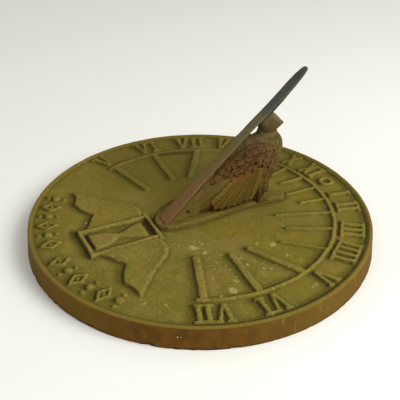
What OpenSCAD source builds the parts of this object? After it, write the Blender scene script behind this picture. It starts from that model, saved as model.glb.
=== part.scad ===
// Cast-iron garden sundial: a round plate with raised hours, and a gnomon held up by a bird.
// The origin is the centre of the plate's resting edge. +Z is up, +Y is north (noon), +X is east.

/* [Plate] */
// Radius of the plate across the top of its rim
plate_r = 127; // [126:0.5:129]
// Height of the top of the rim above the resting edge
plate_h = 17; // [16:0.5:20]
// How much wider the side wall is at the bottom, as draft for the mould
wall_draft = 1.5; // [0:0.5:3]
// Width of the raised rim
rim_w = 3.2; // [2.6:0.2:4]
// Height of the rim above the field
rim_rise = 1.7; // [1.5:0.1:2.1]
// Thickness of the field
field_t = 5; // [4.5:0.5:6]
// Thickness of the side wall, at the resting edge
wall_t = 6; // [5:0.5:7]

/* [Hours] */
// Latitude that the hour angles and the slope of the style are laid out for
latitude = 42; // [40:0.5:44]
// Radius of the thin ring that the hour lines run out to
ring_r = 99.5; // [98:0.5:100]
// Width of the ring
ring_w = 2.6; // [2:0.2:3.2]
// Height of the ring above the field
ring_rise = 1.4; // [1:0.1:1.6]
// Radius at the foot of the numerals
numeral_r = 103.7; // [103:0.1:104]
// Height of the numerals, along the radius
numeral_h = 17.8; // [16:0.2:18]
// How far the numerals stand above the field
numeral_rise = 1.5; // [1.1:0.1:1.7]
// Width of a thick stroke of a numeral
thick_stroke = 3.2; // [2.6:0.1:3.6]
// Width of a thin stroke of a numeral
thin_stroke = 2.2; // [1.8:0.1:2.4]
// How far the hour lines stand above the field
line_rise = 1.1; // [0.8:0.1:1.4]
// Width of the hour lines near noon
narrow_line = 2.4; // [2:0.2:3]
// Width of the hour lines near six o'clock
wide_line = 4.6; // [4:0.2:5]

/* [Ornament] */
// How far the ornament was set anticlockwise of the hour lines
ornament_turn = 3; // [2:0.5:4]
// How far the hourglass frame stands above the field
frame_rise = 2.3; // [1.6:0.1:2.5]
// How far the wings stand above the field
wing_rise = 1.3; // [0.8:0.1:1.6]
// Lozenges and beads on each side of the south line
border_count = 6; // [4:1:6]
// Angle between neighbouring motifs of the border
border_pitch = 6.2; // [5.8:0.1:6.4]

/* [Gnomon] */
// How far south of the centre the style's top face meets the field
style_south = 34.8; // [33:0.2:36]
// Length of the style along its slope
style_len = 157.6; // [150:0.4:162]
// Thickness of the style
style_t = 2.6; // [2.4:0.2:3.4]
// Width of the style at its low end
style_w = 15.5; // [14:0.5:17]
// Width of the style where its rounded tip begins
style_tip_w = 8.6; // [8:0.2:9.4]
// Thickness of the foot plate
foot_t = 3.8; // [3.4:0.2:4.4]
// Half the width of the foot at its south end
foot_nose_r = 12; // [11:0.5:13]
// Half the width of the foot at its north end
foot_tip_r = 5.5; // [5:0.5:6]

/* [Bird] */
// How far a covert feather stands proud of the one it overlaps
feather_step = 0.8; // [0.4:0.1:1]
// Rows of covert feathers on each wing
covert_rows = 5; // [4:1:6]
// Long flight feathers on each wing
flight_count = 7; // [5:1:8]

/* [Screws] */
// Nominal diameter of the two screws that hold the gnomon
screw_d = 6; // [5:0.5:6]
// Length of the screws under the head
screw_len = 18; // [17:0.5:18]

/* [Hidden] */

// Relief is sunk this far into what carries it, so that it fuses
sink = 0.6;
field_z = plate_h - rim_rise;
under_z = field_z - field_t;
rim_in_r = plate_r - rim_w;
under_r = plate_r + wall_draft - wall_t;
edge_soft = 0.7;

// The hour lines: hours from noon, and the inner end of the afternoon line as [x, y]
hour_in = [[1, [15.5, 77]], [2, [23, 52]], [3, [41.5, 51]], [4, [55, 39.5]],
           [5, [54, 14.5]], [6, [56, 0]], [7, [49, -24]]];
first_wide_hour = 5;
noon_in_y = 74;
ring_reach = 2.5;
// Each numeral and its compass bearing, as the pattern maker set them by eye
numerals = [["I", 8.1], ["II", 17.5], ["III", 33.3], ["IIII", 47.7], ["V", 65.5], ["VI", 88.6],
            ["VII", 108.6], ["XI", -12.4], ["X", -23.8], ["IX", -36.5], ["VIII", -52],
            ["VII", -71.7], ["VI", -91.2], ["V", -112.3]];
noon_bearing = -2.2;
noon_ring_r = 5.8;
noon_ring_w = 2.5;

// The bird's outline in its plane of symmetry, from the tail to the crown:
// [back point, front point, half width], with heights above the field
bird_stations = [
    [[-6, 24], [-6, 3], 4.6],
    [[2, 31], [9, 2.5], 5.2],
    [[12, 39.8], [24, 2.5], 6.4],
    [[21, 47.8], [40, 4], 8.2],
    [[28.5, 54.4], [51.5, 11.5], 9.6],
    [[33.5, 58.6], [58, 21.2], 10.4],
    [[36.5, 59.6], [61.5, 28.7], 10.6],
    [[40, 60.1], [65, 39.7], 10.2],
    [[42.5, 60.5], [66, 47.2], 9.2],
    [[43.6, 61], [65, 53], 7.8],
    [[44, 62.2], [61.4, 58.4], 6],
    [[44.6, 65.2], [61.2, 60.2], 5.8],
    [[45.4, 69], [61.5, 62.7], 6.2],
    [[48, 73], [60.5, 66.7], 5.8],
    [[52.5, 77.2], [58.5, 72.4], 4.6]];
// The broad beak, from the face to its tip: [upper point, lower point, half width]
beak_stations = [
    [[56, 74.8], [56.5, 60.2], 5],
    [[59.5, 72.2], [60, 59.7], 4.6],
    [[62, 69.8], [62.2, 60.8], 3.6],
    [[64.5, 67.4], [64.4, 62.6], 2.3],
    [[66.9, 65.2], [66.8, 63.8], 0.9]];
// One folded wing, from its tip to its shoulder: [upper edge, lower edge, middle x, half thickness]
wing_stations = [
    [[0, 20], [8, 5.5], 4.4, 1.2],
    [[9, 29], [19, 6.5], 5.8, 1.8],
    [[18, 37.5], [29, 8.5], 7.2, 2.4],
    [[27, 45.5], [38, 12.5], 8.6, 2.6],
    [[35.5, 52.4], [46, 21.5], 9.4, 2.8],
    [[42, 55.4], [50.5, 32.5], 9.6, 2.8],
    [[47.5, 55.8], [52, 44.5], 8.8, 2.4],
    [[50.5, 54.4], [52, 50.4], 7.8, 1.4]];
body_sides = 24;
wing_sides = 12;
feather_depth = 1.8;
leg_x = 4.6;
leg_y = 46.5;

south_screw_y = -17;
north_screw_y = 32;
boss_r = 8;
boss_h = 3;
washer_t = 1.6;
washer_r = screw_d;
head_h = 3.4;
clear_gap = 0.3;
thread_gap = 0.05;
hole_end = 9.5;
web_w = 9.2;
// The root and the tail meet here
web_north = -6;
$fn = 64;

// Angle of an hour line from noon on a horizontal dial
function hour_angle(h) = h == 6 ? 90
    : atan(sin(latitude) * tan(15 * h)) + (h > 6 ? 180 : 0);
// Point at radius r and compass bearing b
function polar(r, b) = [r * sin(b), r * cos(b)];
// Point t of the way along a curve with end points a, d and control points b, c
function bend(a, b, c, d, t) = pow(1 - t, 3) * a + 3 * t * pow(1 - t, 2) * b
    + 3 * t * t * (1 - t) * c + pow(t, 3) * d;
// The curve as a list of points, without its last one
function curve(a, b, c, d, n = 8) = [for (i = [0:n - 1]) bend(a, b, c, d, i / n)];

// Places its children on the dial at compass bearing b and radius r, tops outward
module on_dial(b, r) {
    rotate([0, 0, -b]) translate([0, r, field_z]) children();
}

// Raises a flat outline to height h above the field
module raise(h) {
    translate([0, 0, -sink]) linear_extrude(h + sink) children();
}

// One straight stroke of a numeral, with level ends
module stroke(x0, y0, x1, y1, w) {
    polygon([[x0 - w / 2, y0], [x0 + w / 2, y0], [x1 + w / 2, y1], [x1 - w / 2, y1]]);
}

function letter_w(c) = c == "I" ? 6.3 : c == "V" ? 13.5 : 10.5;
// Where letter i of numeral s starts
function letter_x(s, i) = i == 0 ? 0 : letter_x(s, i - 1) + letter_w(s[i - 1]);

// A serif bar of width w, centred on x, at the foot (y = 0) or the head of a stroke
module serif(x, y, w) {
    translate([x - w / 2, y]) square([w, thin_stroke]);
}

module letter(c) {
    w = letter_w(c);
    top = numeral_h - thin_stroke;
    if (c == "I") {
        stroke(w / 2, 0, w / 2, numeral_h, thick_stroke);
        serif(w / 2, 0, w + 0.2);
        serif(w / 2, top, w + 0.2);
    }
    if (c == "V") {
        stroke(w * 0.47, 0, w * 0.2, numeral_h, thick_stroke);
        stroke(w * 0.53, 0, w * 0.8, numeral_h, thin_stroke);
        serif(w * 0.21, top, 5.6);
        serif(w * 0.8, top, 4.6);
    }
    if (c == "X") {
        stroke(w * 0.8, 0, w * 0.2, numeral_h, thick_stroke);
        stroke(w * 0.2, 0, w * 0.8, numeral_h, thin_stroke);
        for (y = [0, top]) {
            serif(w * 0.2, y, 4.3);
            serif(w * 0.8, y, 4.3);
        }
    }
}

module numeral(s) {
    total = letter_x(s, len(s) - 1) + letter_w(s[len(s) - 1]);
    for (i = [0:len(s) - 1]) translate([letter_x(s, i) - total / 2, 0]) letter(s[i]);
}

// A raised bar between two points of the field, with round ends
module hour_bar(a, b, w) {
    d = b - a;
    translate([a.x, a.y, field_z]) rotate([0, 0, atan2(d.y, d.x)]) {
        raise(line_rise) {
            translate([0, -w / 2]) square([norm(d), w]);
            circle(w / 2);
        }
    }
}

module hour_lines() {
    for (row = hour_in, side = [-1, 1]) {
        w = row[0] >= first_wide_hour ? wide_line : narrow_line;
        out = polar(ring_r, hour_angle(row[0]));
        hour_bar([side * row[1].x, row[1].y], [side * out.x, out.y], w);
    }
    hour_bar([0, noon_in_y], [0, ring_r], narrow_line);
}

module chapter_ring() {
    reach = hour_angle(7) + ring_reach;
    // A ridge with sloping sides, open to the south
    rotate([0, 0, 90 - reach]) rotate_extrude(angle = 2 * reach, $fn = 180)
        polygon([[ring_r - ring_w / 2, field_z - sink], [ring_r + ring_w / 2, field_z - sink],
                 [ring_r + ring_w / 2, field_z + ring_rise * 0.5], [ring_r + ring_w / 4, field_z + ring_rise],
                 [ring_r - ring_w / 4, field_z + ring_rise], [ring_r - ring_w / 2, field_z + ring_rise * 0.5]]);
}

module hour_numerals() {
    for (row = numerals) on_dial(row[1], numeral_r) raise(numeral_rise) numeral(row[0]);
    // Noon is marked by a ring
    on_dial(noon_bearing, numeral_r + numeral_h * 0.44) raise(numeral_rise) difference() {
        circle(noon_ring_r);
        circle(noon_ring_r - noon_ring_w);
    }
}

// Lozenges with a bead inside, and round beads between them, along the south of the dial
module border() {
    for (i = [0:border_count - 1], side = [-1, 1]) {
        on_dial(180 - ornament_turn + side * (5.6 + border_pitch * i), numeral_r + numeral_h / 2) {
            if (i % 2 == 0) {
                raise(numeral_rise) difference() {
                    polygon([[-5.4, 0], [0, -8.4], [5.4, 0], [0, 8.4]]);
                    polygon([[-3, 0], [0, -4.9], [3, 0], [0, 4.9]]);
                }
                raise(numeral_rise * 0.7) circle(1.4);
            } else {
                raise(numeral_rise) circle(2.6);
                for (y = [-6.4, 6.4]) translate([0, y]) raise(numeral_rise * 0.7) circle(1.4);
            }
        }
    }
}

// The right-hand side of the glass, from the top bar down to the bottom bar
glass_side = concat(curve([8.6, -45], [8.2, -55], [3.4, -58], [2.4, -64]),
    curve([2.4, -64], [3.4, -70], [8.6, -72], [9, -85.5]), [[9, -85.5]]);

module both_sides() {
    children();
    mirror([1, 0]) children();
}

module hourglass() {
    raise(frame_rise) {
        translate([-17, -39.8]) square([34, 3]);
        translate([-17, -91.4]) square([34, 3]);
        both_sides() polygon([[12.2, -39], [15, -39], [16, -89], [13.2, -89]]);
    }
    raise(frame_rise * 0.8) polygon(mirrored(glass_side));
}

// One outspread wing: the front edge runs out to the tip, and the rear edge has two scallops
wing_front = concat(curve([15, -41], [24, -36], [32, -38], [39, -46]),
    curve([39, -46], [47, -58], [58, -65], [70, -76.5]));
wing_rear = concat(curve([70, -76.5], [62, -76], [58, -77], [53, -81]),
    curve([53, -81], [44, -80], [38, -76], [33.5, -72.5]),
    curve([33.5, -72.5], [28, -77], [22, -79], [15.4, -85]), [[15.4, -85]]);
// The thick front edge narrows towards the tip
function front_inner(i, n) = let (t = i / n, p = wing_front[i])
    p + [-0.6, -1] * (1 - t) * 5;

module wing() {
    raise(wing_rise) polygon(concat(wing_front, wing_rear));
    last = len(wing_front) - 1;
    raise(frame_rise * 0.85)
        polygon(concat(wing_front, [for (i = [last:-1:0]) front_inner(i, last)]));
}

// Side wall, rim and field in one turned section
module plate_section() {
    polygon([[0, under_z], [under_r - 0.5, under_z], [under_r, 0],
             [plate_r + wall_draft - edge_soft / 2, 0], [plate_r + wall_draft, edge_soft],
             [plate_r, plate_h - edge_soft], [plate_r - edge_soft, plate_h],
             [rim_in_r + edge_soft, plate_h], [rim_in_r, field_z], [0, field_z]]);
}

module screw_places() {
    for (y = [south_screw_y, north_screw_y]) translate([0, y, 0]) children();
}

module dial_plate() {
    color("olivedrab") difference() {
        union() {
            rotate_extrude($fn = 180) plate_section();
            chapter_ring();
            hour_lines();
            hour_numerals();
            border();
            translate([0, 0, field_z]) rotate([0, 0, ornament_turn]) {
                hourglass();
                wing();
                mirror([1, 0, 0]) wing();
            }
            screw_places() translate([0, 0, under_z - boss_h]) cylinder(h = boss_h + sink, r = boss_r);
        }
        screw_places() translate([0, 0, under_z - boss_h - 1])
            cylinder(h = boss_h + field_t + 3, r = screw_d / 2 + clear_gap);
    }
}

// Tapped holes for the two screws, up into the gnomon
module tapped_holes() {
    screw_places() translate([0, 0, field_z - 1]) cylinder(h = hole_end + 1, r = screw_d / 2 + thread_gap);
}

// The right-hand half of an outline, from south to north, closed by its mirror image
function mirrored(half) = concat(half, [for (i = [len(half) - 1:-1:0]) [-half[i].x, half[i].y]]);

// A tongue with a broad south end, drawn in to a narrow north end
module foot_outline() {
    nose_y = -style_south - 1 + foot_nose_r;
    tip_y = 71 - foot_tip_r;
    flank = curve([foot_nose_r, nose_y], [foot_nose_r, 2], [foot_tip_r + 1.6, 12], [foot_tip_r, 34]);
    translate([0, nose_y]) circle(foot_nose_r);
    translate([0, tip_y]) circle(foot_tip_r);
    polygon(mirrored(concat(flank, [[foot_tip_r, 34], [foot_tip_r, tip_y]])));
}

module gnomon_foot() {
    color("olive") difference() {
        translate([0, 0, field_z]) linear_extrude(foot_t) foot_outline();
        tapped_holes();
    }
}

// The flat top of the style, drawn from its low end (y = 0) to its rounded tip
module style_outline() {
    shoulder = style_len - 40;
    flank = curve([style_w / 2, 0], [style_w / 2 - 1.2, 40], [style_tip_w / 2 + 0.5, 90],
                  [style_tip_w / 2, shoulder]);
    point = curve([style_tip_w / 2, shoulder], [style_tip_w / 2 + 0.1, shoulder + 22],
                  [3.6, style_len - 0.2], [0, style_len], 10);
    polygon(mirrored(concat(flank, point)));
}

// Puts its children in the style's own plane: y up the slope, z square to it
module on_style() {
    translate([0, -style_south, field_z]) rotate([latitude, 0, 0]) children();
}

// Everything above the style's underside, for cutting what must pass below it
module above_style() {
    on_style() translate([-60, -60, -style_t]) cube([120, 320, 160]);
}

// Everything lower than the top of the foot
module below_foot_top() {
    translate([-60, -90, field_z + foot_t - 60]) cube([120, 200, 60]);
}

module gnomon_style() {
    color("slategray") difference() {
        union() {
            on_style() translate([0, 0, -style_t]) linear_extrude(style_t) style_outline();
            // The root fills the wedge between the style and the foot
            difference() {
                translate([-web_w / 2, -style_south, field_z]) cube([web_w, web_north + style_south, 30]);
                above_style();
            }
        }
        below_foot_top();
        tapped_holes();
    }
}

// A ring of points round the line from the back point a to the front point f, half w wide
function oval(a, f, w, x, sides) = let (c = (a + f) / 2, r = (f - a) / 2)
    [for (i = [0:sides - 1]) let (t = 360 * i / sides)
        [x + w * sin(t), c.x + r.x * cos(t), c.y + r.y * cos(t)]];

// A closed skin over rings that all have the same number of points
module loft(rings) {
    n = len(rings[0]);
    m = len(rings);
    polyhedron(
        points = [for (ring = rings) each ring],
        faces = concat(
            [[for (i = [n - 1:-1:0]) i]],
            [for (k = [0:m - 2], i = [0:n - 1]) let (j = (i + 1) % n)
                [k * n + i, k * n + j, (k + 1) * n + j, (k + 1) * n + i]],
            [[for (i = [0:n - 1]) (m - 1) * n + i]]),
        convexity = 6);
}

// Linear blend between stations, so that u = 0.5 is halfway between the first two
function at(list, u) = let (i = min(floor(u), len(list) - 2), t = u - i)
    list[i] * (1 - t) + list[i + 1] * t;
wing_upper = [for (s = wing_stations) s[0]];
wing_lower = [for (s = wing_stations) s[1]];
wing_outside = [for (s = wing_stations) s[2] + s[3]];
// Point of the wing's outer face: u along it from the tip, v across it from the upper edge
function on_wing(u, v) = let (p = at(wing_upper, u) * (1 - v) + at(wing_lower, u) * v, b = 2 * v - 1)
    [at(wing_outside, u) - 2.2 * b * b, p.x, p.y];

// One feather from its root to its tip, lying on the wing and lifted at the tip
module feather(root, tip, w) {
    d = tip - root;
    len = norm(d);
    lean = asin((d.x + feather_step) / len);
    translate(root) rotate([atan2(d.z, d.y), 0, 0]) rotate([90, 0, 90 - lean])
        translate([0, 0, -feather_depth]) hull() {
            linear_extrude(feather_depth)
                polygon([[0, -w * 0.34], [len * 0.6, -w / 2], [len * 0.6, w / 2], [0, w * 0.34]]);
            linear_extrude(feather_depth)
                polygon([[len * 0.6, -w / 2], [len * 0.88, -w * 0.32], [len, 0],
                         [len * 0.88, w * 0.32], [len * 0.6, w / 2]]);
        }
}

// The folded wing on the bird's east side
module folded_wing() {
    loft([for (s = wing_stations) oval(s[0], s[1], s[3], s[2], wing_sides)]);
    // Flight feathers fan from the bend of the wing down to the tail
    for (i = [0:flight_count - 1]) {
        v = (i + 0.6) / flight_count;
        feather(on_wing(3.7 - 0.8 * v, v), on_wing(0.3 + 1.8 * v * v, v * 0.96), 5.2 - i * 0.2);
    }
    // Coverts lie over their roots in rows, each row nearer the shoulder
    for (row = [0:covert_rows - 1]) {
        u = 3.1 + row * 0.72;
        count = 5 - (row > 3 ? 1 : 0);
        for (i = [0:count - 1]) {
            v = (i + 0.5 + (row % 2) * 0.3) / (count + 0.2);
            feather(on_wing(u + 0.6, v * 0.92), on_wing(u - 0.5, v), 6.2 - row * 0.35);
        }
    }
}

module bird() {
    color("saddlebrown") difference() {
        translate([0, 0, field_z]) {
            loft([for (s = bird_stations) oval(s[0], s[1], s[2], 0, body_sides)]);
            folded_wing();
            mirror([1, 0, 0]) folded_wing();
            loft([for (s = beak_stations) oval(s[0], s[1], s[2], 0, 16)]);
            // Legs and toes
            for (x = [-leg_x, leg_x]) {
                hull() {
                    translate([x, leg_y - 0.5, 16]) sphere(4.6, $fn = 12);
                    translate([x, leg_y, foot_t]) sphere(2.2, $fn = 12);
                }
                hull() {
                    translate([x, leg_y, foot_t]) sphere(1.8, $fn = 10);
                    translate([x * 0.8, leg_y + 6, foot_t]) sphere(1, $fn = 8);
                }
            }
        }
        above_style();
        below_foot_top();
        tapped_holes();
    }
}

// Slotted pan-head screws, seen from under the plate
module gnomon_screws() {
    seat = under_z - boss_h - washer_t;
    color("dimgray") screw_places() translate([0, 0, seat]) {
        cylinder(h = screw_len, r = screw_d / 2 - thread_gap);
        difference() {
            rotate_extrude()
                polygon([[0, -head_h], [screw_d * 0.6, -head_h], [screw_d * 0.85, -head_h * 0.72],
                         [screw_d * 0.95, -head_h * 0.35], [screw_d * 0.95, 0], [0, 0]]);
            translate([-screw_d, -0.8, -head_h - 1]) cube([2 * screw_d, 1.6, 2.4]);
        }
    }
}

module screw_washers() {
    color("gray") screw_places() translate([0, 0, under_z - boss_h - washer_t]) difference() {
        cylinder(h = washer_t, r = washer_r + 0.5);
        translate([0, 0, -1]) cylinder(h = washer_t + 2, r = screw_d / 2 + clear_gap);
    }
}

dial_plate();
gnomon_foot();
gnomon_style();
bird();
gnomon_screws();
screw_washers();
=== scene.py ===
import bpy
import math
import numpy as np
from mathutils import Matrix, Vector
from mathutils.kdtree import KDTree


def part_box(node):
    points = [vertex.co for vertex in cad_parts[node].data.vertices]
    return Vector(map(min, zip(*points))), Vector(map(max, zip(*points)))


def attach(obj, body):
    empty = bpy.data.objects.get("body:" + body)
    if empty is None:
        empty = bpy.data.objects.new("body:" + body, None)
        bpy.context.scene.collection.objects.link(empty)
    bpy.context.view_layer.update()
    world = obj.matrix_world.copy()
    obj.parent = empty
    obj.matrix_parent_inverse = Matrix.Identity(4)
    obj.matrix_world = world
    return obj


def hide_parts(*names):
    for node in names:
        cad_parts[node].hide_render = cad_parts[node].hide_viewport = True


# A cast-iron garden sundial: the plate with its relief, the gnomon's foot and style, and the bird under it.
# Everything is laid out in millimetres: x east, y north (noon), z up from the plate's resting edge.

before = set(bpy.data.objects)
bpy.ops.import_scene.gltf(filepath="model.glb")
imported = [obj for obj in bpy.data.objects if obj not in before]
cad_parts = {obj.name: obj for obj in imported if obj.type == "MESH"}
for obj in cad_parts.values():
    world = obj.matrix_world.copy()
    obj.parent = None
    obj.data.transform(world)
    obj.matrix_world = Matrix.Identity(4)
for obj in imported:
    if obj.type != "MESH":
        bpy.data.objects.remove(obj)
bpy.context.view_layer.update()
mm = 0.001


def cadMm(node):
    return [np.array(corner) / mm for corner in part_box(node)]


plateLow, plateHigh = cadMm("dial_plate")
footLow, footHigh = cadMm("gnomon_foot")
styleLow, styleHigh = cadMm("gnomon_style")
birdLow, birdHigh = cadMm("bird")
print("frame loaded, plate", np.round(plateHigh - plateLow, 1))

dial = {
    "topZ": plateHigh[2],
    "rimRise": 1.7,
    "fieldThickness": 5.0,
    "rimRadius": 127.0,
    "rimWidth": 3.2,
    "wallThickness": 6.0,
    "latitude": 42.0,
    "ringRadius": 99.5,
    "ringWidth": 2.6,
    "ringRise": 1.3,
    "ringReach": 2.5,
    "numeralFoot": 103.7,
    "numeralHeight": 17.8,
    "numeralRise": 1.5,
    "thickStroke": 3.2,
    "thinStroke": 2.2,
    "lineRise": 1.1,
    "narrowLine": 2.4,
    "wideLine": 5.0,
    "ornamentTurn": 3.0,
    "frameRise": 2.3,
    "wingRise": 1.3,
    "slopeOutside": 0.6,
    "slopeInside": 0.55,
    "gridStep": 0.56,
    "edgeWobble": 0.36,
    # lumps of the field: (height, size, seed)
    "unevenness": [(0.16, 17.0, 3), (0.08, 6.0, 4), (0.05, 2.3, 5)],
    "pitCount": 220,
    "mapStep": 0.5,
    "mapHalf": 130.0,
    "bossRadius": 8.0,
    "bossHeight": 3.0,
    "screwPlaces": [[0, -17], [0, 32]],
    "seed": 11,
}
fieldZ = dial["topZ"] - dial["rimRise"]
underZ = fieldZ - dial["fieldThickness"]
rimInside = dial["rimRadius"] - dial["rimWidth"]

gnomon = {
    "slope": dial["latitude"],
    "south": 34.8,
    "thickness": 2.6,
    "length": 157.6,
    "footThickness": 3.8,
    "noseRadius": 12.0,
    "tipRadius": 5.5,
    "footNorth": 71.0,
    "rootHalf": 4.3,
    "rootNorth": -4.0,
    "voxel": 0.45,
}
footTop = fieldZ + gnomon["footThickness"]


def heading(angle):
    return np.array([math.cos(math.radians(angle)), math.sin(math.radians(angle))])


slopeCos, slopeSin = heading(gnomon["slope"])


def roundTurn(count):
    return np.arange(count) * 2 * math.pi / count


def lumps(points, size, seed):
    # soft noise from -1 to 1; one lump is about size across
    lattice = np.random.default_rng(seed).uniform(-1, 1, (32, 32, 32))
    spot = points / size
    cell = np.floor(spot).astype(int)
    part = spot - cell
    part = part * part * (3 - 2 * part)
    total = np.zeros(len(points))
    for corner in np.ndindex(2, 2, 2):
        index = (cell + corner) % 32
        share = np.prod(np.where(np.array(corner) == 1, part, 1 - part), axis=1)
        total += share * lattice[index[:, 0], index[:, 1], index[:, 2]]
    return total


def heap(points, *rows):
    # lumps of several sizes together: (amount, size, seed) each
    return sum(amount * lumps(points, size, seed) for amount, size, seed in rows)


def setPoints(mesh, points):
    mesh.vertices.foreach_set("co", (points * mm).astype(np.float32).ravel())
    mesh.update()


def hang(name, data):
    # a new object of the scene that shows the given data
    piece = bpy.data.objects.new(name, data)
    bpy.context.scene.collection.objects.link(piece)
    return piece


def makeMesh(name, points, faceGroups, traits=None):
    # faceGroups are arrays of three or four vertex numbers a row; traits are values at the vertices
    mesh = bpy.data.meshes.new(name)
    mesh.vertices.add(len(points))
    setPoints(mesh, points)
    corners = np.concatenate([group.ravel() for group in faceGroups])
    sizes = np.concatenate([np.full(len(group), group.shape[1]) for group in faceGroups])
    mesh.loops.add(len(corners))
    mesh.loops.foreach_set("vertex_index", corners.astype(np.int32))
    mesh.polygons.add(len(sizes))
    mesh.polygons.foreach_set("loop_start", (np.cumsum(sizes) - sizes).astype(np.int32))
    mesh.update(calc_edges=True)
    mesh.validate()
    mesh.shade_smooth()
    addTraits(mesh, traits or {})
    return hang(name, mesh)


def addTraits(mesh, traits):
    for label, values in traits.items():
        trait = mesh.attributes.new(label, "FLOAT", "POINT")
        trait.data.foreach_set("value", np.asarray(values, np.float32))


def readRows(rows, key, width, kind=np.float32):
    values = np.zeros(len(rows) * width, kind)
    rows.foreach_get(key, values)
    return values.reshape(-1, width)


def pointsOf(mesh):
    return readRows(mesh.vertices, "co", 3).astype(float) / mm


def normalsOf(mesh):
    return readRows(mesh.vertex_normals, "vector", 3).astype(float)


def neighbourMean(values, pairs, counts):
    total = np.zeros_like(values)
    for axis in range(values.shape[1]):
        total[:, axis] = np.bincount(pairs[:, 0], values[pairs[:, 1], axis], len(values))
        total[:, axis] += np.bincount(pairs[:, 1], values[pairs[:, 0], axis], len(values))
    return total / counts[:, None]


def meshPairs(mesh):
    pairs = readRows(mesh.edges, "vertices", 2, np.int32)
    return pairs, np.maximum(np.bincount(pairs.ravel(), minlength=len(mesh.vertices)), 1)


def hollows(mesh, rounds):
    # how far each vertex lies below its softened surroundings, in mm: above zero in a crevice
    pairs, counts = meshPairs(mesh)
    points = pointsOf(mesh)
    soft = points.copy()
    for _ in range(rounds):
        soft = neighbourMean(soft, pairs, counts)
    return ((soft - points) * normalsOf(mesh)).sum(axis=1)


def bend(a, b, c, d, count=8):
    # points of a curve from a to d, drawn towards b and c, without the last one
    t = np.arange(count)[:, None] / count
    a, b, c, d = (np.array(p, float) for p in (a, b, c, d))
    return (1 - t) ** 3 * a + 3 * t * (1 - t) ** 2 * b + 3 * t * t * (1 - t) * c + t ** 3 * d


def strokeOutline(x0, y0, x1, y1, width):
    half = width / 2
    return np.array([[x0 - half, y0], [x0 + half, y0], [x1 + half, y1], [x1 - half, y1]])


def barOutline(x, y, width, height):
    return strokeOutline(x, y, x, y + height, width)


def circleOutline(x, y, radius, count=28):
    angle = roundTurn(count)
    return np.stack([x + radius * np.cos(angle), y + radius * np.sin(angle)], 1)


def mirrorX(outline):
    return outline * [-1, 1]


def mirrorOutline(half):
    return np.vstack([half, mirrorX(half)[::-1]])


def footOutline():
    nose = gnomon["noseRadius"]
    tip = gnomon["tipRadius"]
    noseY = -gnomon["south"] - 1 + nose
    tipY = gnomon["footNorth"] - tip
    gap = 0.02
    low = [[nose * math.sin(a), noseY - nose * math.cos(a)] for a in np.linspace(gap, math.pi / 2, 14)]
    flank = bend([nose, noseY], [nose, 2], [tip + 1.6, 12], [tip, 34], 12)
    end = [[tip * math.cos(a), tipY + tip * math.sin(a)] for a in np.linspace(0, math.pi / 2 - gap, 12)]
    return mirrorOutline(np.vstack([low, flank[1:], [[tip, 34]], end]))


def hourAngle(hour):
    if hour == 6:
        return 90.0
    slope = math.sin(math.radians(dial["latitude"])) * math.tan(math.radians(15 * hour))
    return math.degrees(math.atan(slope)) + (180 if hour > 6 else 0)


def turned(outline, bearing):
    # an outline turned clockwise about the middle of the dial
    b = math.radians(bearing)
    x, y = outline.T
    return np.stack([x * math.cos(b) + y * math.sin(b), y * math.cos(b) - x * math.sin(b)], 1)


def onDial(outline, bearing, radius):
    # an outline drawn upright, set at a compass bearing with its top outwards
    return turned(outline + [0, radius], bearing)


relief = []


def addRelief(outline, rise, hole=None):
    relief.append({"outline": outline, "rise": rise, "hole": hole})


letters = {
    # strokes: [foot, top, kind]; serifs: [middle, width, 0 for the foot or 1 for the top]
    # feet, tops and middles are shares of the letter's width
    "I": {"width": 6.3, "strokes": [[0.5, 0.5, "thickStroke"]], "serifs": [[0.5, 6.5, 0], [0.5, 6.5, 1]]},
    "V": {"width": 13.5, "strokes": [[0.47, 0.2, "thickStroke"], [0.53, 0.8, "thinStroke"]],
          "serifs": [[0.21, 5.6, 1], [0.8, 4.6, 1]]},
    "X": {"width": 10.5, "strokes": [[0.8, 0.2, "thickStroke"], [0.2, 0.8, "thinStroke"]],
          "serifs": [[0.2, 4.3, 0], [0.8, 4.3, 0], [0.2, 4.3, 1], [0.8, 4.3, 1]]},
}


def letterOutlines(letter):
    width = letter["width"]
    tall = dial["numeralHeight"]
    thin = dial["thinStroke"]
    outlines = []
    for foot, top, kind in letter["strokes"]:
        outlines.append(strokeOutline(width * foot, 0, width * top, tall, dial[kind]))
    for middle, wide, end in letter["serifs"]:
        outlines.append(barOutline(width * middle, (tall - thin) * end, wide, thin))
    return outlines


def addNumeral(text, bearing):
    x = -sum(letters[letter]["width"] for letter in text) / 2
    wobble = np.random.default_rng(dial["seed"] + len(relief))
    for letter in text:
        lift = dial["numeralRise"] * wobble.uniform(0.88, 1.0)
        for outline in letterOutlines(letters[letter]):
            placed = outline + [x, 0] + wobble.uniform(-0.15, 0.15, (1, 2))
            addRelief(onDial(placed, bearing, dial["numeralFoot"]), lift)
        x += letters[letter]["width"]


hours = {
    # each numeral and its bearing, as the pattern maker set them by eye
    "numerals": [["I", 8.1], ["II", 17.5], ["III", 33.3], ["IIII", 47.7], ["V", 65.5], ["VI", 88.6],
                 ["VII", 108.6], ["XI", -12.4], ["X", -23.8], ["IX", -36.5], ["VIII", -52],
                 ["VII", -71.7], ["VI", -91.2], ["V", -112.3]],
    # hour from noon: inner end of the afternoon line
    "inner": {1: [15.5, 77], 2: [23, 52], 3: [41.5, 51], 4: [55, 39.5], 5: [54, 14.5], 6: [56, 0],
              7: [49, -24]},
    "firstWide": 5,
    "noonInner": 74,
    "noonBearing": -2.2,
    "noonRing": [5.8, 3.3],
}
for text, bearing in hours["numerals"]:
    addNumeral(text, bearing)


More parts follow.
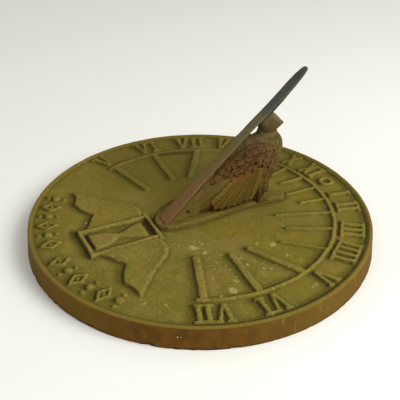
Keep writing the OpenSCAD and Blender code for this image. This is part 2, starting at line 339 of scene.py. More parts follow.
def addHourLine(inner, outer, width):
    inner, outer = np.array(inner, float), np.array(outer, float)
    along = (outer - inner) / np.linalg.norm(outer - inner)
    side = np.array([-along[1], along[0]]) * width / 2
    turn = np.linspace(math.pi / 2, 3 * math.pi / 2, 9)
    end = [inner + side * math.sin(t) + along * math.cos(t) * width / 2 for t in turn]
    addRelief(np.array([outer - side, outer + side] + end), dial["lineRise"])


for hour, (x, y) in hours["inner"].items():
    width = dial["wideLine"] if hour >= hours["firstWide"] else dial["narrowLine"]
    b = math.radians(hourAngle(hour))
    for side in (-1, 1):
        outer = [side * dial["ringRadius"] * math.sin(b), dial["ringRadius"] * math.cos(b)]
        addHourLine([side * x, y], outer, width)
addHourLine([0, hours["noonInner"]], [0, dial["ringRadius"]], dial["narrowLine"])
# noon is marked by a ring
noonPlace = dial["numeralFoot"] + dial["numeralHeight"] * 0.44
outer, inner = (onDial(circleOutline(0, 0, r), hours["noonBearing"], noonPlace) for r in hours["noonRing"])
addRelief(outer, dial["numeralRise"], inner)

border = {
    # lozenges and beads by turns, on both sides of the south line
    "count": 6,
    "first": 5.6,
    "pitch": 6.2,
    "middle": dial["numeralFoot"] + dial["numeralHeight"] / 2,
    "lozenge": [5.4, 8.4],
    "lozengeHole": [3.0, 4.9],
    "bead": 2.7,
    "smallBead": 1.4,
    "smallBeadOut": 6.4,
}


def diamond(across, tall):
    return np.array([[-across, 0], [0, -tall], [across, 0], [0, tall]])


def addBorder(outline, bearing, rise, hole=None):
    if hole is not None:
        hole = onDial(hole, bearing, border["middle"])
    addRelief(onDial(outline, bearing, border["middle"]), rise, hole)


for step in range(border["count"]):
    for side in (-1, 1):
        bearing = 180 - dial["ornamentTurn"] + side * (border["first"] + border["pitch"] * step)
        tall = dial["numeralRise"]
        low = tall * 0.8
        if step % 2 == 0:
            addBorder(diamond(*border["lozenge"]), bearing, tall, diamond(*border["lozengeHole"]))
            addBorder(circleOutline(0, 0, border["smallBead"]), bearing, low)
        else:
            addBorder(circleOutline(0, 0, border["bead"]), bearing, tall)
            for y in (-border["smallBeadOut"], border["smallBeadOut"]):
                addBorder(circleOutline(0, y, border["smallBead"]), bearing, low)

glass = {
    "barHalf": 17.0,
    "topBar": [-39.8, 3.0],
    "bottomBar": [-91.4, 3.4],
    "bulbRise": 1.6,
    "wingEdgeRise": 1.5,
}


def addOrnament(outline, rise):
    addRelief(turned(outline, -dial["ornamentTurn"]), rise)


for low, tall in (glass["topBar"], glass["bottomBar"]):
    addOrnament(barOutline(0, low, 2 * glass["barHalf"], tall), dial["frameRise"])
post = np.array([[12.2, -39], [15, -39], [16, -89], [13.2, -89]])
bulb = np.vstack([bend([8.6, -45], [8.2, -55], [3.4, -58], [2.4, -64]),
                  bend([2.4, -64], [3.4, -70], [8.6, -72], [9, -85.5]), [[9, -85.5]]])
for flip in (np.array, mirrorX):
    addOrnament(flip(post), dial["frameRise"])
addOrnament(mirrorOutline(bulb), glass["bulbRise"])

wingFront = np.vstack([bend([15, -41], [24, -36], [32, -38], [39, -46]),
                       bend([39, -46], [47, -58], [58, -65], [70, -76.5]), [[70, -76.5]]])
wingRear = np.vstack([bend([70, -76.5], [62, -76], [58, -77], [53, -81]),
                      bend([53, -81], [44, -80], [38, -76], [33.5, -72.5]),
                      bend([33.5, -72.5], [28, -77], [22, -79], [15.4, -85]), [[15.4, -85]]])
taper = (1 - np.linspace(0, 1, len(wingFront)))[:, None]
wingEdge = np.vstack([wingFront, (wingFront + taper * [-3.0, -5.0])[::-1]])
for flip in (np.array, mirrorX):
    addOrnament(flip(np.vstack([wingFront, wingRear])), dial["wingRise"])
    addOrnament(flip(wingEdge), glass["wingEdgeRise"])
print("relief outlines", len(relief))


def insideDistance(points, outline):
    # distance to a closed outline, above zero inside it
    best = np.full(len(points), 1e6)
    inside = np.zeros(len(points), bool)
    for a, b in zip(outline, np.roll(outline, -1, axis=0)):
        edge = b - a
        away = points - a
        t = np.clip(away @ edge / max(edge @ edge, 1e-9), 0, 1)
        best = np.minimum(best, np.hypot(*(away - t[:, None] * edge).T))
        if a[1] != b[1]:
            crosses = (a[1] > points[:, 1]) != (b[1] > points[:, 1])
            inside ^= crosses & (points[:, 0] < a[0] + away[:, 1] * edge[0] / edge[1])
    return np.where(inside, best, -best)


def ringDistance(points):
    # the thin ring, which is open to the south
    reach = math.radians(hourAngle(7) + dial["ringReach"])
    bearing = np.arctan2(points[:, 0], points[:, 1])
    nearest = np.clip(bearing, -reach, reach)
    centre = dial["ringRadius"] * np.stack([np.sin(nearest), np.cos(nearest)], 1)
    return dial["ringWidth"] / 2 - np.hypot(*(points - centre).T)


def softStep(t):
    t = np.clip(t, 0, 1)
    return t * t * (3 - 2 * t)


def slopeShare(distance):
    return softStep((distance + dial["slopeOutside"]) / (dial["slopeOutside"] + dial["slopeInside"]))


for shape in relief:
    shape["low"] = shape["outline"].min(axis=0)
    shape["high"] = shape["outline"].max(axis=0)


def readRelief(points):
    # height above the field and signed distance to the nearest raised edge; edges wander as cast ones do
    flat = np.column_stack([points, np.zeros(len(points))])
    drift = np.stack([lumps(flat, 5.0, 21), lumps(flat, 5.0, 22)], 1) + 0.5 * lumps(flat, 2.2, 23)[:, None]
    points = points + dial["edgeWobble"] * drift
    reach = 3.0
    distance = np.maximum(ringDistance(points), -reach)
    height = dial["ringRise"] * slopeShare(distance)
    for shape in relief:
        inBox = (points > shape["low"] - reach) & (points < shape["high"] + reach)
        near = np.where(inBox.all(axis=1))[0]
        if not len(near):
            continue
        d = insideDistance(points[near], shape["outline"])
        if shape["hole"] is not None:
            d = np.minimum(d, -insideDistance(points[near], shape["hole"]))
        distance[near] = np.maximum(distance[near], d)
        height[near] = np.maximum(height[near], shape["rise"] * slopeShare(d))
    return height, distance


def snapToEdges(points):
    # moves grid points onto the foot and the top of each slope, so that edges run true
    small = 0.05
    _, here = readRelief(points)
    _, east = readRelief(points + [small, 0])
    _, north = readRelief(points + [0, small])
    uphill = np.stack([east - here, north - here], 1) / small
    steep = np.hypot(*uphill.T)
    moved = points.copy()
    for level in (-dial["slopeOutside"], dial["slopeInside"]):
        gap = level - here
        close = (np.abs(gap) < dial["gridStep"] * 0.46) & (steep > 0.8)
        moved[close] = points[close] + uphill[close] * (gap[close] / steep[close] ** 2)[:, None]
    return moved


occlusion = {
    # blur of the height map, in mm, for each kind of hollow, and the depth at which it counts in full
    "level": 0.6,
    "close": [1.1, 0.62],
    "wide": [2.6, 0.55],
    # the shadow side of a ridge is read from this many map steps away, in rows and columns, towards the key
    # light
    "shadowSide": [0.8, 0.8],
    "shadowSideSteps": (-3, -2),
    "farShadow": [2.0, 0.7],
    "farShadowSteps": (-8, -5),
    "farLevel": 1.2,
}


def softened(heights, size):
    # a square map of heights, blurred over about size mm
    turns = np.fft.fftfreq(len(heights), dial["mapStep"])
    gain = np.exp(-2 * (math.pi * size) ** 2 * (turns[:, None] ** 2 + turns[None, :] ** 2))
    return np.fft.ifft2(np.fft.fft2(heights) * gain).real


def occlusionMaps():
    # how far each place of the dial lies below what is round it: dirt and painted shade go there
    side = np.arange(-dial["mapHalf"], dial["mapHalf"] + 0.01, dial["mapStep"])
    y, x = np.meshgrid(side, side, indexing="ij")
    flat = np.stack([x.ravel(), y.ravel()], 1)
    heights, _ = readRelief(flat)
    heights = np.maximum(heights, gnomon["footThickness"] * (insideDistance(flat, footOutline()) > 0))
    fromMiddle = np.hypot(*flat.T)
    heights = np.where(fromMiddle > rimInside, dial["rimRise"], heights).reshape(x.shape)
    fine = softened(heights, occlusion["level"])
    # painted shade on the south-west side of each ridge, the side away from the key light; below zero, on
    # the lit side, it gives a painted highlight
    shadowSide = np.roll(softened(heights, occlusion["shadowSide"][0]), occlusion["shadowSideSteps"], (0, 1)) - fine
    # a longer painted cast shadow beside the higher relief
    farShadow = np.roll(softened(heights, occlusion["farShadow"][0]), occlusion["farShadowSteps"], (0, 1))
    farShadow -= softened(heights, occlusion["farLevel"])
    close = softened(heights, occlusion["close"][0]) - heights
    wide = softened(heights, occlusion["wide"][0]) - fine
    return {"close": close, "wide": wide, "shadowSide": shadowSide, "farShadow": farShadow}


def readMap(values, points):
    spot = np.clip((points + dial["mapHalf"]) / dial["mapStep"], 0, len(values) - 1.001)
    cell = spot.astype(int)
    u, v = (spot - cell).T
    i, j = cell.T
    near = values[j, i] * (1 - u) + values[j, i + 1] * u
    far = values[j + 1, i] * (1 - u) + values[j + 1, i + 1] * u
    return near * (1 - v) + far * v


def ringFaces(starts, counts):
    # faces between each ring of points and the next; counts stay, double or halve
    quads = []
    threes = []
    for a, b, m, n in zip(starts, starts[1:], counts, counts[1:]):
        i = np.arange(min(m, n))
        j = (i + 1) % len(i)
        if m == n:
            quads.append(np.stack([a + i, b + i, b + j, a + j], 1))
            continue
        # two steps of the finer ring beside one of the coarser ring
        k = (2 * i + 2) % max(m, n)
        if n == 2 * m:
            mid = b + 2 * i + 1
            corners = [[a + i, b + 2 * i, mid], [a + i, mid, a + j], [a + j, mid, b + k]]
        else:
            mid = a + 2 * i + 1
            corners = [[a + 2 * i, b + i, mid], [mid, b + i, b + j], [mid, b + j, a + k]]
        threes += [np.stack(corner, 1) for corner in corners]
    return quads, threes


plateTurning = {
    # the rim from its inner foot outwards: [distance out, height above the field]
    "rim": [(0.0, 0.03), (0.2, 0.3), (0.42, 0.8), (0.66, 1.25), (0.95, 1.55), (1.35, 1.68), (1.8, 1.7),
            (2.2, 1.7), (2.55, 1.68), (2.85, 1.6), (3.05, 1.4), (3.16, 1.1), (3.2, 0.75)],
    # the wall's foot: [distance in, height], its outer bend and then its flat end
    "foot": [(0.02, 0.8), (0.2, 0.3), (0.6, 0.0)],
    "footEnd": [(2.0, 0.0), (4.5, 0.0)],
    # how far the wall's foot stays inside the plate's CAD box
    "margin": 0.06,
    "around": 1200,
    "aroundInside": 600,
    # rings near the middle are halved, down to this many points
    "fewest": 75,
    "halvedWithin": 62,
    "wallRows": 20,
    "crustDepth": 0.9,
    "crustHeight": 3.2,
}
# the parts of the plate's skin, in the order of its rings
skin = {"field": 0.0, "rim": 1.0, "wall": 2.0, "inside": 3.0, "under": 4.0}


def ringCount(radius):
    count = plateTurning["around"]
    while radius < plateTurning["halvedWithin"] and count > plateTurning["fewest"]:
        radius *= 2
        count //= 2
    return count


def dialRows():
    # rings of the plate's skin: over the field, over the rim, down the wall, and in under the plate
    around = plateTurning["around"]
    inside = plateTurning["aroundInside"]
    top = dial["topZ"]
    wallFoot = plateHigh[0] - plateTurning["margin"]
    spread = wallFoot - dial["rimRadius"]
    inner = wallFoot + 0.1 - dial["wallThickness"]
    fieldRings = np.arange(1.6, rimInside - 0.2, dial["gridStep"])
    underRings = np.arange(inner - 3.0, 2.0, -1.5)
    rows = [(r, fieldZ, ringCount(r), skin["field"]) for r in fieldRings]
    rows += [(rimInside + r, fieldZ + z, around, skin["rim"]) for r, z in plateTurning["rim"]]
    for z in np.linspace(fieldZ + 0.2, 1.4, plateTurning["wallRows"]):
        rows.append((dial["rimRadius"] + spread * (top - z) / top, z, around, skin["wall"]))
    rows += [(wallFoot - r, z, around, skin["wall"]) for r, z in plateTurning["foot"]]
    rows += [(wallFoot - r, z, inside, skin["inside"]) for r, z in plateTurning["footEnd"]]
    # up the inside of the wall, which leans in a little, and round the bend to the underside
    upInside = [(0.2, 0.05), (-0.1, 0.6)]
    upInside += [(-0.15 - 0.03 * z, z) for z in np.linspace(1.6, underZ - 1.2, 6)]
    upInside += [(-0.8, underZ - 0.45), (-1.6, underZ - 0.1)]
    rows += [(inner + r, z, inside, skin["inside"]) for r, z in upInside]
    rows += [(r, underZ, max(ringCount(r) // 4, plateTurning["fewest"]), skin["under"]) for r in underRings]
    fixed = []
    for r, z, count, part in rows:
        while fixed and fixed[-1][2] / count > 2:
            count *= 2
        fixed.append((r, z, count, part))
    return fixed


def dialPiece():
    rows = dialRows()
    counts = [1] + [row[2] for row in rows] + [1]
    starts = np.concatenate([[0], np.cumsum(counts)[:-1]])
    points = [np.array([[0, 0, fieldZ]])]
    zones = [np.zeros(1)]
    for r, z, count, part in rows:
        angle = roundTurn(count)
        points.append(np.stack([r * np.cos(angle), r * np.sin(angle), np.full(count, z)], 1))
        zones.append(np.full(count, part))
    points = np.vstack(points + [np.array([[0, 0, underZ]])])
    zones = np.concatenate(zones + [np.full(1, skin["under"])])
    quads, threes = ringFaces(list(starts[1:-1]), counts[1:-1])
    first, last = starts[1], starts[-2]
    i = np.arange(counts[1])
    threes.append(np.stack([np.zeros_like(i), first + i, first + (i + 1) % counts[1]], 1))
    i = np.arange(counts[-2])
    threes.append(np.stack([last + i, np.full_like(i, starts[-1]), last + (i + 1) % counts[-2]], 1))
    onField = zones == skin["field"]
    shapeField(points, onField)
    crust = shapeWall(points, zones)
    shapeUnderside(points, zones == skin["under"])
    flat = points[:, :2]
    _, distance = readRelief(flat)
    hidden = {label: readMap(values, flat) / occlusion[label][1] for label, values in occlusionMaps().items()}
    # dirt and painted shade in the narrow hollows, plus painted shade on each ridge's side away from the key
    # light
    dirtAndShade = 0.55 * np.clip(hidden["close"], 0, 1) + 0.75 * np.clip(hidden["shadowSide"], 0, 1)
    # painted shade in broad hollows and a painted cast shadow beside the higher relief
    paintedShade = 0.5 * np.clip(hidden["wide"], 0, 1) + np.clip(hidden["farShadow"], 0, 1.2)
    traits = {"dirtAndShade": np.clip(dirtAndShade, 0, 1), "paintedShade": np.clip(paintedShade, 0, 1),
              # painted shade in the listed strips, and a painted highlight on the slopes that face the key
              # light
              "stripShade": stripShadeMask(flat) * (distance < 0.2), "litSlope": np.clip(-hidden["shadowSide"], 0, 1),
              "raised": softStep((distance + 0.1) / 0.7), "spots": paleSpots(flat)}
    traits = {label: np.where(onField, values, 0) for label, values in traits.items()}
    traits["rim"] = np.where(zones == skin["rim"], softStep((points[:, 2] - fieldZ - 0.5) / 0.8), 0)
    traits.update({"wall": softStep(zones - 1.0), "under": softStep(zones - 2.0), "crust": crust})
    return makeMesh("dialCasting", points, [np.vstack(quads), np.vstack(threes)], traits)


def shapeField(points, field):
    flat = snapToEdges(points[field, :2])
    spots = np.column_stack([flat, np.zeros(len(flat))])
    height, _ = readRelief(flat)
    level = heap(spots, *dial["unevenness"])
    height = height * (0.92 + 0.08 * lumps(spots, 9.0, 6))
    height += pits(flat)
    points[field, :2] = flat
    points[field, 2] = fieldZ + height + level * softStep((rimInside - np.hypot(*flat.T)) / 2)


def pits(flat):
    # small casting pits and pimples at seeded places
    chance = np.random.default_rng(dial["seed"])
    total = np.zeros(len(flat))
    for _ in range(dial["pitCount"]):
        radius = dial["ringRadius"] * 1.2 * math.sqrt(chance.uniform())
        turn = chance.uniform(0, 2 * math.pi)
        centre = np.array([math.sin(turn), math.cos(turn)]) * radius
        size = chance.uniform(0.5, 1.4)
        depth = chance.uniform(-0.3, 0.25)
        total += depth * np.exp(-(((flat - centre) / size) ** 2).sum(axis=1))
    return total


lichen = {
    # pale growths on the field: [x, y, radius, strength]
    "large": [
        [36.8, -21.2, 2.9, 1.0], [45.7, -15.5, 2.3, 0.8], [58.0, -13.5, 2.0, 0.6], [50.1, 22.4, 2.4, 0.7],
        [55.2, 32.5, 2.8, 0.9], [66.0, 12.0, 1.9, 0.7], [69.4, 5.7, 1.9, 0.8], [61.3, 4.0, 2.3, 0.7],
        [90.5, -15.4, 2.9, 1.0], [82.1, -8.8, 2.3, 0.7], [93.0, -24.8, 1.7, 0.7], [77.9, 13.9, 1.4, 0.7],
        [80.1, 17.6, 1.4, 0.7], [70.2, 35.8, 2.4, 0.6], [86.7, -61.3, 1.6, 0.6], [79.8, -72.3, 2.0, 0.7],
        [106.6, 36.6, 2.6, 0.6], [101.4, 51.2, 2.0, 0.5], [35.1, -13.2, 1.3, 0.6]],
    # small ones, thickest round the evening hours
    "smallCount": 260,
    "middle": [72.0, -18.0],
    "spread": [26.0, 30.0],
}
# painted shade on the field in strips: both ends' x and y, half width, strength; the first two lie in the
# hourglass's slots, then a band inside the ring to the west, darker for dirt and painted shade, the style's
# shadow west of its low end, and the shadow under the hourglass's bottom bar
shadeStrips = [[-5.5, -41.9, 9.0, -41.3, 2.4, 1.0], [-5.5, -86.8, 10.5, -86.0, 1.6, 0.8],
              [-96.9, 2.0, -95.1, 18.0, 2.1, 0.85], [-95.1, 18.0, -88.9, 36.0, 2.4, 1.0],
              [-19.0, -24.0, -25.0, -12.5, 2.0, 0.75], [-16, -94.5, 21, -92.5, 1.8, 0.4]]


def stripShadeMask(flat):
    total = np.zeros(len(flat))
    for startX, startY, endX, endY, half, strength in shadeStrips:
        run = np.array([endX - startX, endY - startY])
        away = flat - [startX, startY]
        away = np.hypot(*(away - np.clip(away @ run / (run @ run), 0, 1)[:, None] * run).T)
        total = np.maximum(total, strength * softStep((half - away) / 1.6 + 0.5))
    return total


def paleSpots(flat):
    chance = np.random.default_rng(dial["seed"] + 1)
    spots = list(lichen["large"])
    for _ in range(lichen["smallCount"]):
        place = np.array(lichen["middle"]) + chance.normal(0, 1, 2) * lichen["spread"]
        spots.append([*place, chance.uniform(0.45, 1.2), chance.uniform(0.25, 0.7)])
    total = np.zeros(len(flat))
    for x, y, radius, strength in spots:
        stretch = chance.uniform(0.7, 1.4)
        away = np.hypot((flat[:, 0] - x) * stretch, (flat[:, 1] - y) / stretch)
        total = np.maximum(total, strength * np.clip(1.6 - away / radius, 0, 1))
    return total


def shapeWall(points, zones):
    # the rim and the wall are a little lumpy, never outside the plate's own size; returns the rusty crust
    rimTop = zones == skin["rim"]
    wall = zones == skin["wall"]
    edge = rimTop | wall
    spots = points[edge]
    radius = np.hypot(spots[:, 0], spots[:, 1])
    rough = 0.5 + heap(spots, (0.5, 11.0, 7), (0.35, 4.0, 8), (0.2, 1.8, 9))
    inward = 0.14 * np.clip(rough, 0, 1.6) * softStep((radius - rimInside - 1.5) / 1.5)
    bearing = np.degrees(np.arctan2(spots[:, 0], spots[:, 1]))
    # thickest low down on the side towards the evening hours and the south
    along = softStep((bearing - 92) / 25) * softStep((212 - bearing % 360) / 25)
    low = softStep(1 - spots[:, 2] / plateTurning["crustHeight"] + 0.5 * lumps(spots, 6.0, 15))
    chips = np.clip(heap(spots, (1.0, 3.0, 16), (0.6, 1.4, 17)) + 0.1, 0, 1)
    inward += plateTurning["crustDepth"] * low * chips * (0.25 + 0.75 * along)
    points[edge, 0] -= spots[:, 0] / radius * inward
    points[edge, 1] -= spots[:, 1] / radius * inward
    crust = np.zeros(len(points))
    crust[edge] = low * (0.35 + 0.65 * along) * wall[edge]
    spots = points[rimTop]
    dip = 0.26 + heap(spots, (0.08, 13.0, 10), (0.12, 3.0, 12), (0.06, 1.4, 18))
    points[rimTop, 2] -= dip * softStep((spots[:, 2] - fieldZ) / 1.0)
    # one notch in the rim, south of the south-west
    bearing = np.degrees(np.arctan2(points[:, 0], points[:, 1]))
    notch = np.exp(-((bearing + 163.9) / 0.9) ** 2) * edge * softStep((points[:, 2] - fieldZ + 3) / 3)
    points[:, 2] -= 0.8 * notch * softStep((np.hypot(points[:, 0], points[:, 1]) - rimInside - 1.2) / 2)
    return crust


def shapeUnderside(points, under):
    flat = points[under, :2]
    spots = points[under]
    level = heap(spots, (0.35, 14.0, 13), (0.2, 5.0, 14))
    bosses = np.zeros(len(flat))
    for place in dial["screwPlaces"]:
        away = np.hypot(*(flat - place).T)
        bosses = np.maximum(bosses, softStep((dial["bossRadius"] + 1.4 - away) / 2.4))
    points[under, 2] += level * (1 - bosses) - dial["bossHeight"] * bosses


dialObject = dialPiece()
print("dial", len(dialObject.data.polygons), "faces")


def onStyle(points):
    # from the style's own plane (x across, y up the slope, z square to it) to the dial
    x, y, z = points.T
    north = -gnomon["south"] + y * slopeCos - z * slopeSin
    return np.stack([x, north, fieldZ + y * slopeSin + z * slopeCos], 1)


class Clump:
    # closed skins collected into one mesh, which a voxel remesh then fuses like poured iron
    def __init__(self):
        self.points = []
        self.faces = []
        self.size = 0

    def add(self, points, faces):
        self.faces += [[index + self.size for index in face] for face in faces]
        self.points.append(points)
        self.size += len(points)

    def loft(self, rings):
        # a closed skin over rings that all have the same number of points
        count = len(rings[0])
        faces = [list(range(count))[::-1]]
        for k in range(len(rings) - 1):
            for i in range(count):
                j = (i + 1) % count
                faces.append([k * count + i, k * count + j, (k + 1) * count + j, (k + 1) * count + i])
        faces.append([(len(rings) - 1) * count + i for i in range(count)])
        self.add(np.vstack(rings), faces)

    def ball(self, centre, radii, count=16):
        rings = []
        turn = roundTurn(count * 2)
        for k in range(1, count):
            a = math.pi * k / count
            ring = [np.sin(a) * np.cos(turn), np.sin(a) * np.sin(turn), np.full(len(turn), -np.cos(a))]
            rings.append(np.array(centre) + np.stack(ring, 1) * radii)
        self.loft(rings)

    def cast(self, name, voxel, softening):
        # fuses the skins, then softens every edge as sand casting does
        mesh = bpy.data.meshes.new(name + "Rough")
        mesh.from_pydata((np.vstack(self.points) * mm).tolist(), [], self.faces)
        mesh.update()
        rough = hang(name + "Rough", mesh)
        remesh = rough.modifiers.new("fuse", "REMESH")
        remesh.mode = "VOXEL"
        remesh.voxel_size = voxel * mm
        bpy.context.view_layer.update()
        graph = bpy.context.evaluated_depsgraph_get()
        fused = bpy.data.meshes.new_from_object(rough.evaluated_get(graph))
        bpy.data.objects.remove(rough)
        bpy.data.meshes.remove(mesh)
        pairs, counts = meshPairs(fused)
        points = pointsOf(fused)
        for _ in range(softening):
            # smooth, then push back, so that the form doesn't shrink
            points += 0.55 * (neighbourMean(points, pairs, counts) - points)
            points -= 0.5 * (neighbourMean(points, pairs, counts) - points)
        points += 0.2 * (neighbourMean(points, pairs, counts) - points)
        setPoints(fused, points)
        fused.shade_smooth()
        fused.name = name
        return hang(name, fused)


casting = {
    # lumps of a cast surface: (share, size)
    "lumps": [(1.0, 7.0), (0.6, 2.8), (0.3, 1.3)],
    # rounds of smoothing that a hollow is measured against, and the depth at which it counts in full
    "crevice": [5, 0.16],
    "occlusion": [40, 0.8],
    # pieces stay this far inside their CAD boxes
    "margin": 0.02,
}


def roughen(piece, amount, low, high, seed):
    # a cast surface is never quite flat; the piece stays within its CAD box
    mesh = piece.data
    points = pointsOf(mesh)
    level = heap(points, *[(share, size, seed + k) for k, (share, size) in enumerate(casting["lumps"])])
    points += normalsOf(mesh) * (amount * level)[:, None]
    setPoints(mesh, np.clip(points, low + casting["margin"], high - casting["margin"]))
    for label in ("crevice", "occlusion"):
        rounds, depth = casting[label]
        addTraits(mesh, {label: np.clip(hollows(mesh, rounds) / depth, -1, 1)})


def drawnIn(outline, inset):
    # the outline moved inwards by the same distance everywhere
    run = np.roll(outline, -1, 0) - np.roll(outline, 1, 0)
    run /= np.linalg.norm(run, axis=1)[:, None]
    inward = np.stack([-run[:, 1], run[:, 0]], 1)
    centre = outline.mean(0)
    if np.sum(inward * (centre - outline)) < 0:
        inward = -inward
    return outline + inward * inset


footClump = Clump()
outline = footOutline()
# the foot's rounded edge: [distance in, height against its top]
footRings = [[0.0, -0.3 - gnomon["footThickness"]], [0.2, -2.4], [0.6, -1.3], [1.3, -0.5], [2.2, -0.1],
             [3.4, 0.0]]
footClump.loft([np.column_stack([drawnIn(outline, inset), np.full(len(outline), footTop + depth)])
                for inset, depth in footRings])
footObject = footClump.cast("gnomonFoot", gnomon["voxel"], 4)
roughen(footObject, 0.16, footLow - [0, 0, 0.5], footHigh, 31)
print("foot", len(footObject.data.polygons), "faces")

# along the style, from the end on the foot to the tip: [distance, half width, thickness at the edges]
styleShape = [[2, 7.2, 2.6], [9, 6.8, 2.6], [21, 6.2, 2.6], [36, 5.5, 2.6], [56, 4.95, 2.3],
              [76, 4.8, 1.8], [88, 4.75, 1.2], [100, 4.8, 1.3], [108, 4.85, 2.0], [113, 4.85, 3.1],
              [120, 4.8, 3.4], [126, 4.85, 3.1], [133, 5.05, 2.5], [140, 5.1, 1.9], [148, 4.7, 1.4],
              [153, 3.9, 1.1], [156, 2.8, 1.0], [157.5, 1.1, 0.9]]


def styleAt(along):
    # half width and edge thickness at a distance along the style
    places, halves, edges = np.array(styleShape).T
    return np.interp(along, places, halves), np.interp(along, places, edges)


def styleRing(y, count=44):
    # a flat bar's section: slightly crowned above, its underside keeled where the edges are thin
    half, edge = (float(measure) for measure in styleAt(y))
    half = max(half, 0.35)
    keel = max(edge, min(gnomon["thickness"], 2.4) * min(1.0, half / 3.0))
    angle = -roundTurn(count)
    across, up = (np.sign(part) * np.abs(part) ** 0.42 for part in (np.cos(angle), np.sin(angle)))
    x = half * across
    deep = edge + (keel - edge) * (1 - np.abs(x / half)) ** 0.7
    z = -edge / 2 + up * np.where(up > 0, edge / 2, deep - edge / 2)
    z -= 0.25 * (x / max(half, 0.5)) ** 2 * (up > 0)
    sway = 0.9 * softStep((60 - y) / 40) - 0.55 * softStep((y - 120) / 34)
    return onStyle(np.stack([x + sway, np.full(count, float(y)), z], 1))


def styleUnder(y):
    # height of the style's underside at a place along the dial
    return fieldZ + (y + gnomon["south"]) * slopeSin / slopeCos - gnomon["thickness"] / slopeCos


styleClump = Clump()
lengths = gnomon["length"] - np.geomspace(7.5, 0.15, 16)
lengths = np.concatenate([np.linspace(2.0, gnomon["length"] - 8, 60), lengths])
styleClump.loft([styleRing(y) for y in lengths])
# the root is a web under the style, set back from its edges; its north end slants up into the bird's tail
root = []
for y in np.linspace(-gnomon["south"] + 3.4, gnomon["rootNorth"], 26):
    slant = 0.4 * softStep((y + 22) / 16)
    rise = max((styleUnder(y) - footTop) / (1 - slant * slopeSin / slopeCos) + 1.0, 0.5)
    half = gnomon["rootHalf"] + 0.9 * softStep((y + 13) / 7)
    heights = np.linspace(-0.6, rise, 9)
    share = np.linspace(0, 1, 9)
    flare = 1.8 * softStep((gnomon["rootNorth"] - 4 - y) / 14)
    widths = half + np.interp(share, [0, 0.12, 0.3, 0.85, 1], [flare, 0.4 * flare, 0, -0.2, 0.4])
    east = np.stack([widths, y + slant * heights, footTop + heights], 1)
    root.append(np.vstack([east[::-1], east * [-1, 1, 1]]))
styleClump.loft(root)
# the low end swells out where it runs into the foot
styleClump.ball([0, -gnomon["south"] + 8.6, footTop - 0.6], [5.8, 5.2, 2.0])
styleObject = styleClump.cast("gnomonStyle", gnomon["voxel"] * 0.9, 3)
roughen(styleObject, 0.09, styleLow - [0, 0, 0.8], styleHigh, 41)


def addStyleTraits(mesh):
    # how far each point lies along the style, and whether it is on a flank of the bar or on the web
    points = pointsOf(mesh)
    north = points[:, 1] + gnomon["south"]
    up = points[:, 2] - fieldZ
    along = north * slopeCos + up * slopeSin
    below = north * slopeSin - up * slopeCos
    flank = softStep((below - 0.55) / 0.7)
    web = np.maximum(softStep((below - 3.2) / 0.8), softStep((footTop + 0.5 - points[:, 2]) / 0.6))
    addTraits(mesh, {"flank": flank, "web": web, "alongStyle": along / gnomon["length"]})


addStyleTraits(styleObject.data)
print("style", len(styleObject.data.polygons), "faces")

bird = {
    # the body in its plane of symmetry: [back point, front point, half width], heights above the field
    "body": [[-6, 23.5, -6, 2.6, 4.8], [2, 30, 9, 2.5, 5.4], [12, 39, 24, 2.5, 6.6], [21, 47, 40, 4, 8.2],
             [28.5, 53.4, 51, 11.5, 9.4], [33.5, 56.6, 57.4, 21.2, 9.9], [36.5, 57.0, 61, 28.7, 10.0],
             [40, 57.4, 64.2, 39.7, 9.6], [42.5, 58.0, 65.4, 47.2, 8.6], [44.6, 59.2, 64.4, 53, 7.2],
             [45.4, 62.0, 61.0, 58.2, 5.2], [46.4, 65.2, 60.2, 60.2, 4.6], [47.2, 68, 57.5, 62.7, 4.2]],
    # the head from the nape to the beak's tip: [y, top, bottom, half width of the crown, of the cheeks]
    "head": [[46.4, 69.0, 62.5, 2.2, 3.6], [47.8, 71.2, 60.6, 3.4, 5.2], [49.8, 73.2, 59.4, 4.2, 6.2],
             [52, 75, 59.0, 4.7, 6.5], [54.2, 76.3, 58.8, 4.8, 6.4], [56.2, 75.2, 59.0, 4.6, 6.0],
             [58, 73.4, 59.8, 4.2, 5.1], [59.8, 71.6, 60.6, 3.7, 4.1], [61.8, 69.3, 61.6, 2.9, 3.1],
             [63.8, 67.1, 62.9, 2.0, 2.1], [65.8, 65.2, 63.7, 0.9, 1.0]],
    # a folded wing from its tip to its shoulder: [upper y, upper z, lower y, lower z, distance out]
    "wing": [[-15, 12.5, -9, 4.2, 4.0], [-4, 22.4, 2, 4.4, 5.4], [2, 28.6, 9, 4.6, 7.2],
             [8, 34.2, 17, 4.8, 8.6], [15, 40.6, 26, 5.4, 9.4], [22, 46.8, 35, 7.6, 10.2],
             [28.5, 52.4, 43, 16.5, 11.0], [34.5, 55.8, 50, 28, 11.4], [40.5, 55.4, 54.8, 37, 11.2],
             [46.5, 53.8, 57.2, 44, 10.4], [51.5, 52.4, 57.2, 49.5, 9.2]],
    # the east leg down to its foot: [x, y, height, radius]
    "leg": [[4.6, 46.6, 10.5, 3.2], [4.6, 46.5, 7.5, 2.4], [4.6, 46.6, 5.2, 2.3], [4.6, 47, 3.4, 2.7]],
    "wingCurl": 2.0,
    "plumage": 1.15,
    # points of the sheet that each wing is worked in: along it, down it
    "sheet": (330, 230),
    "voxel": 0.35,
    "seed": 5,
}


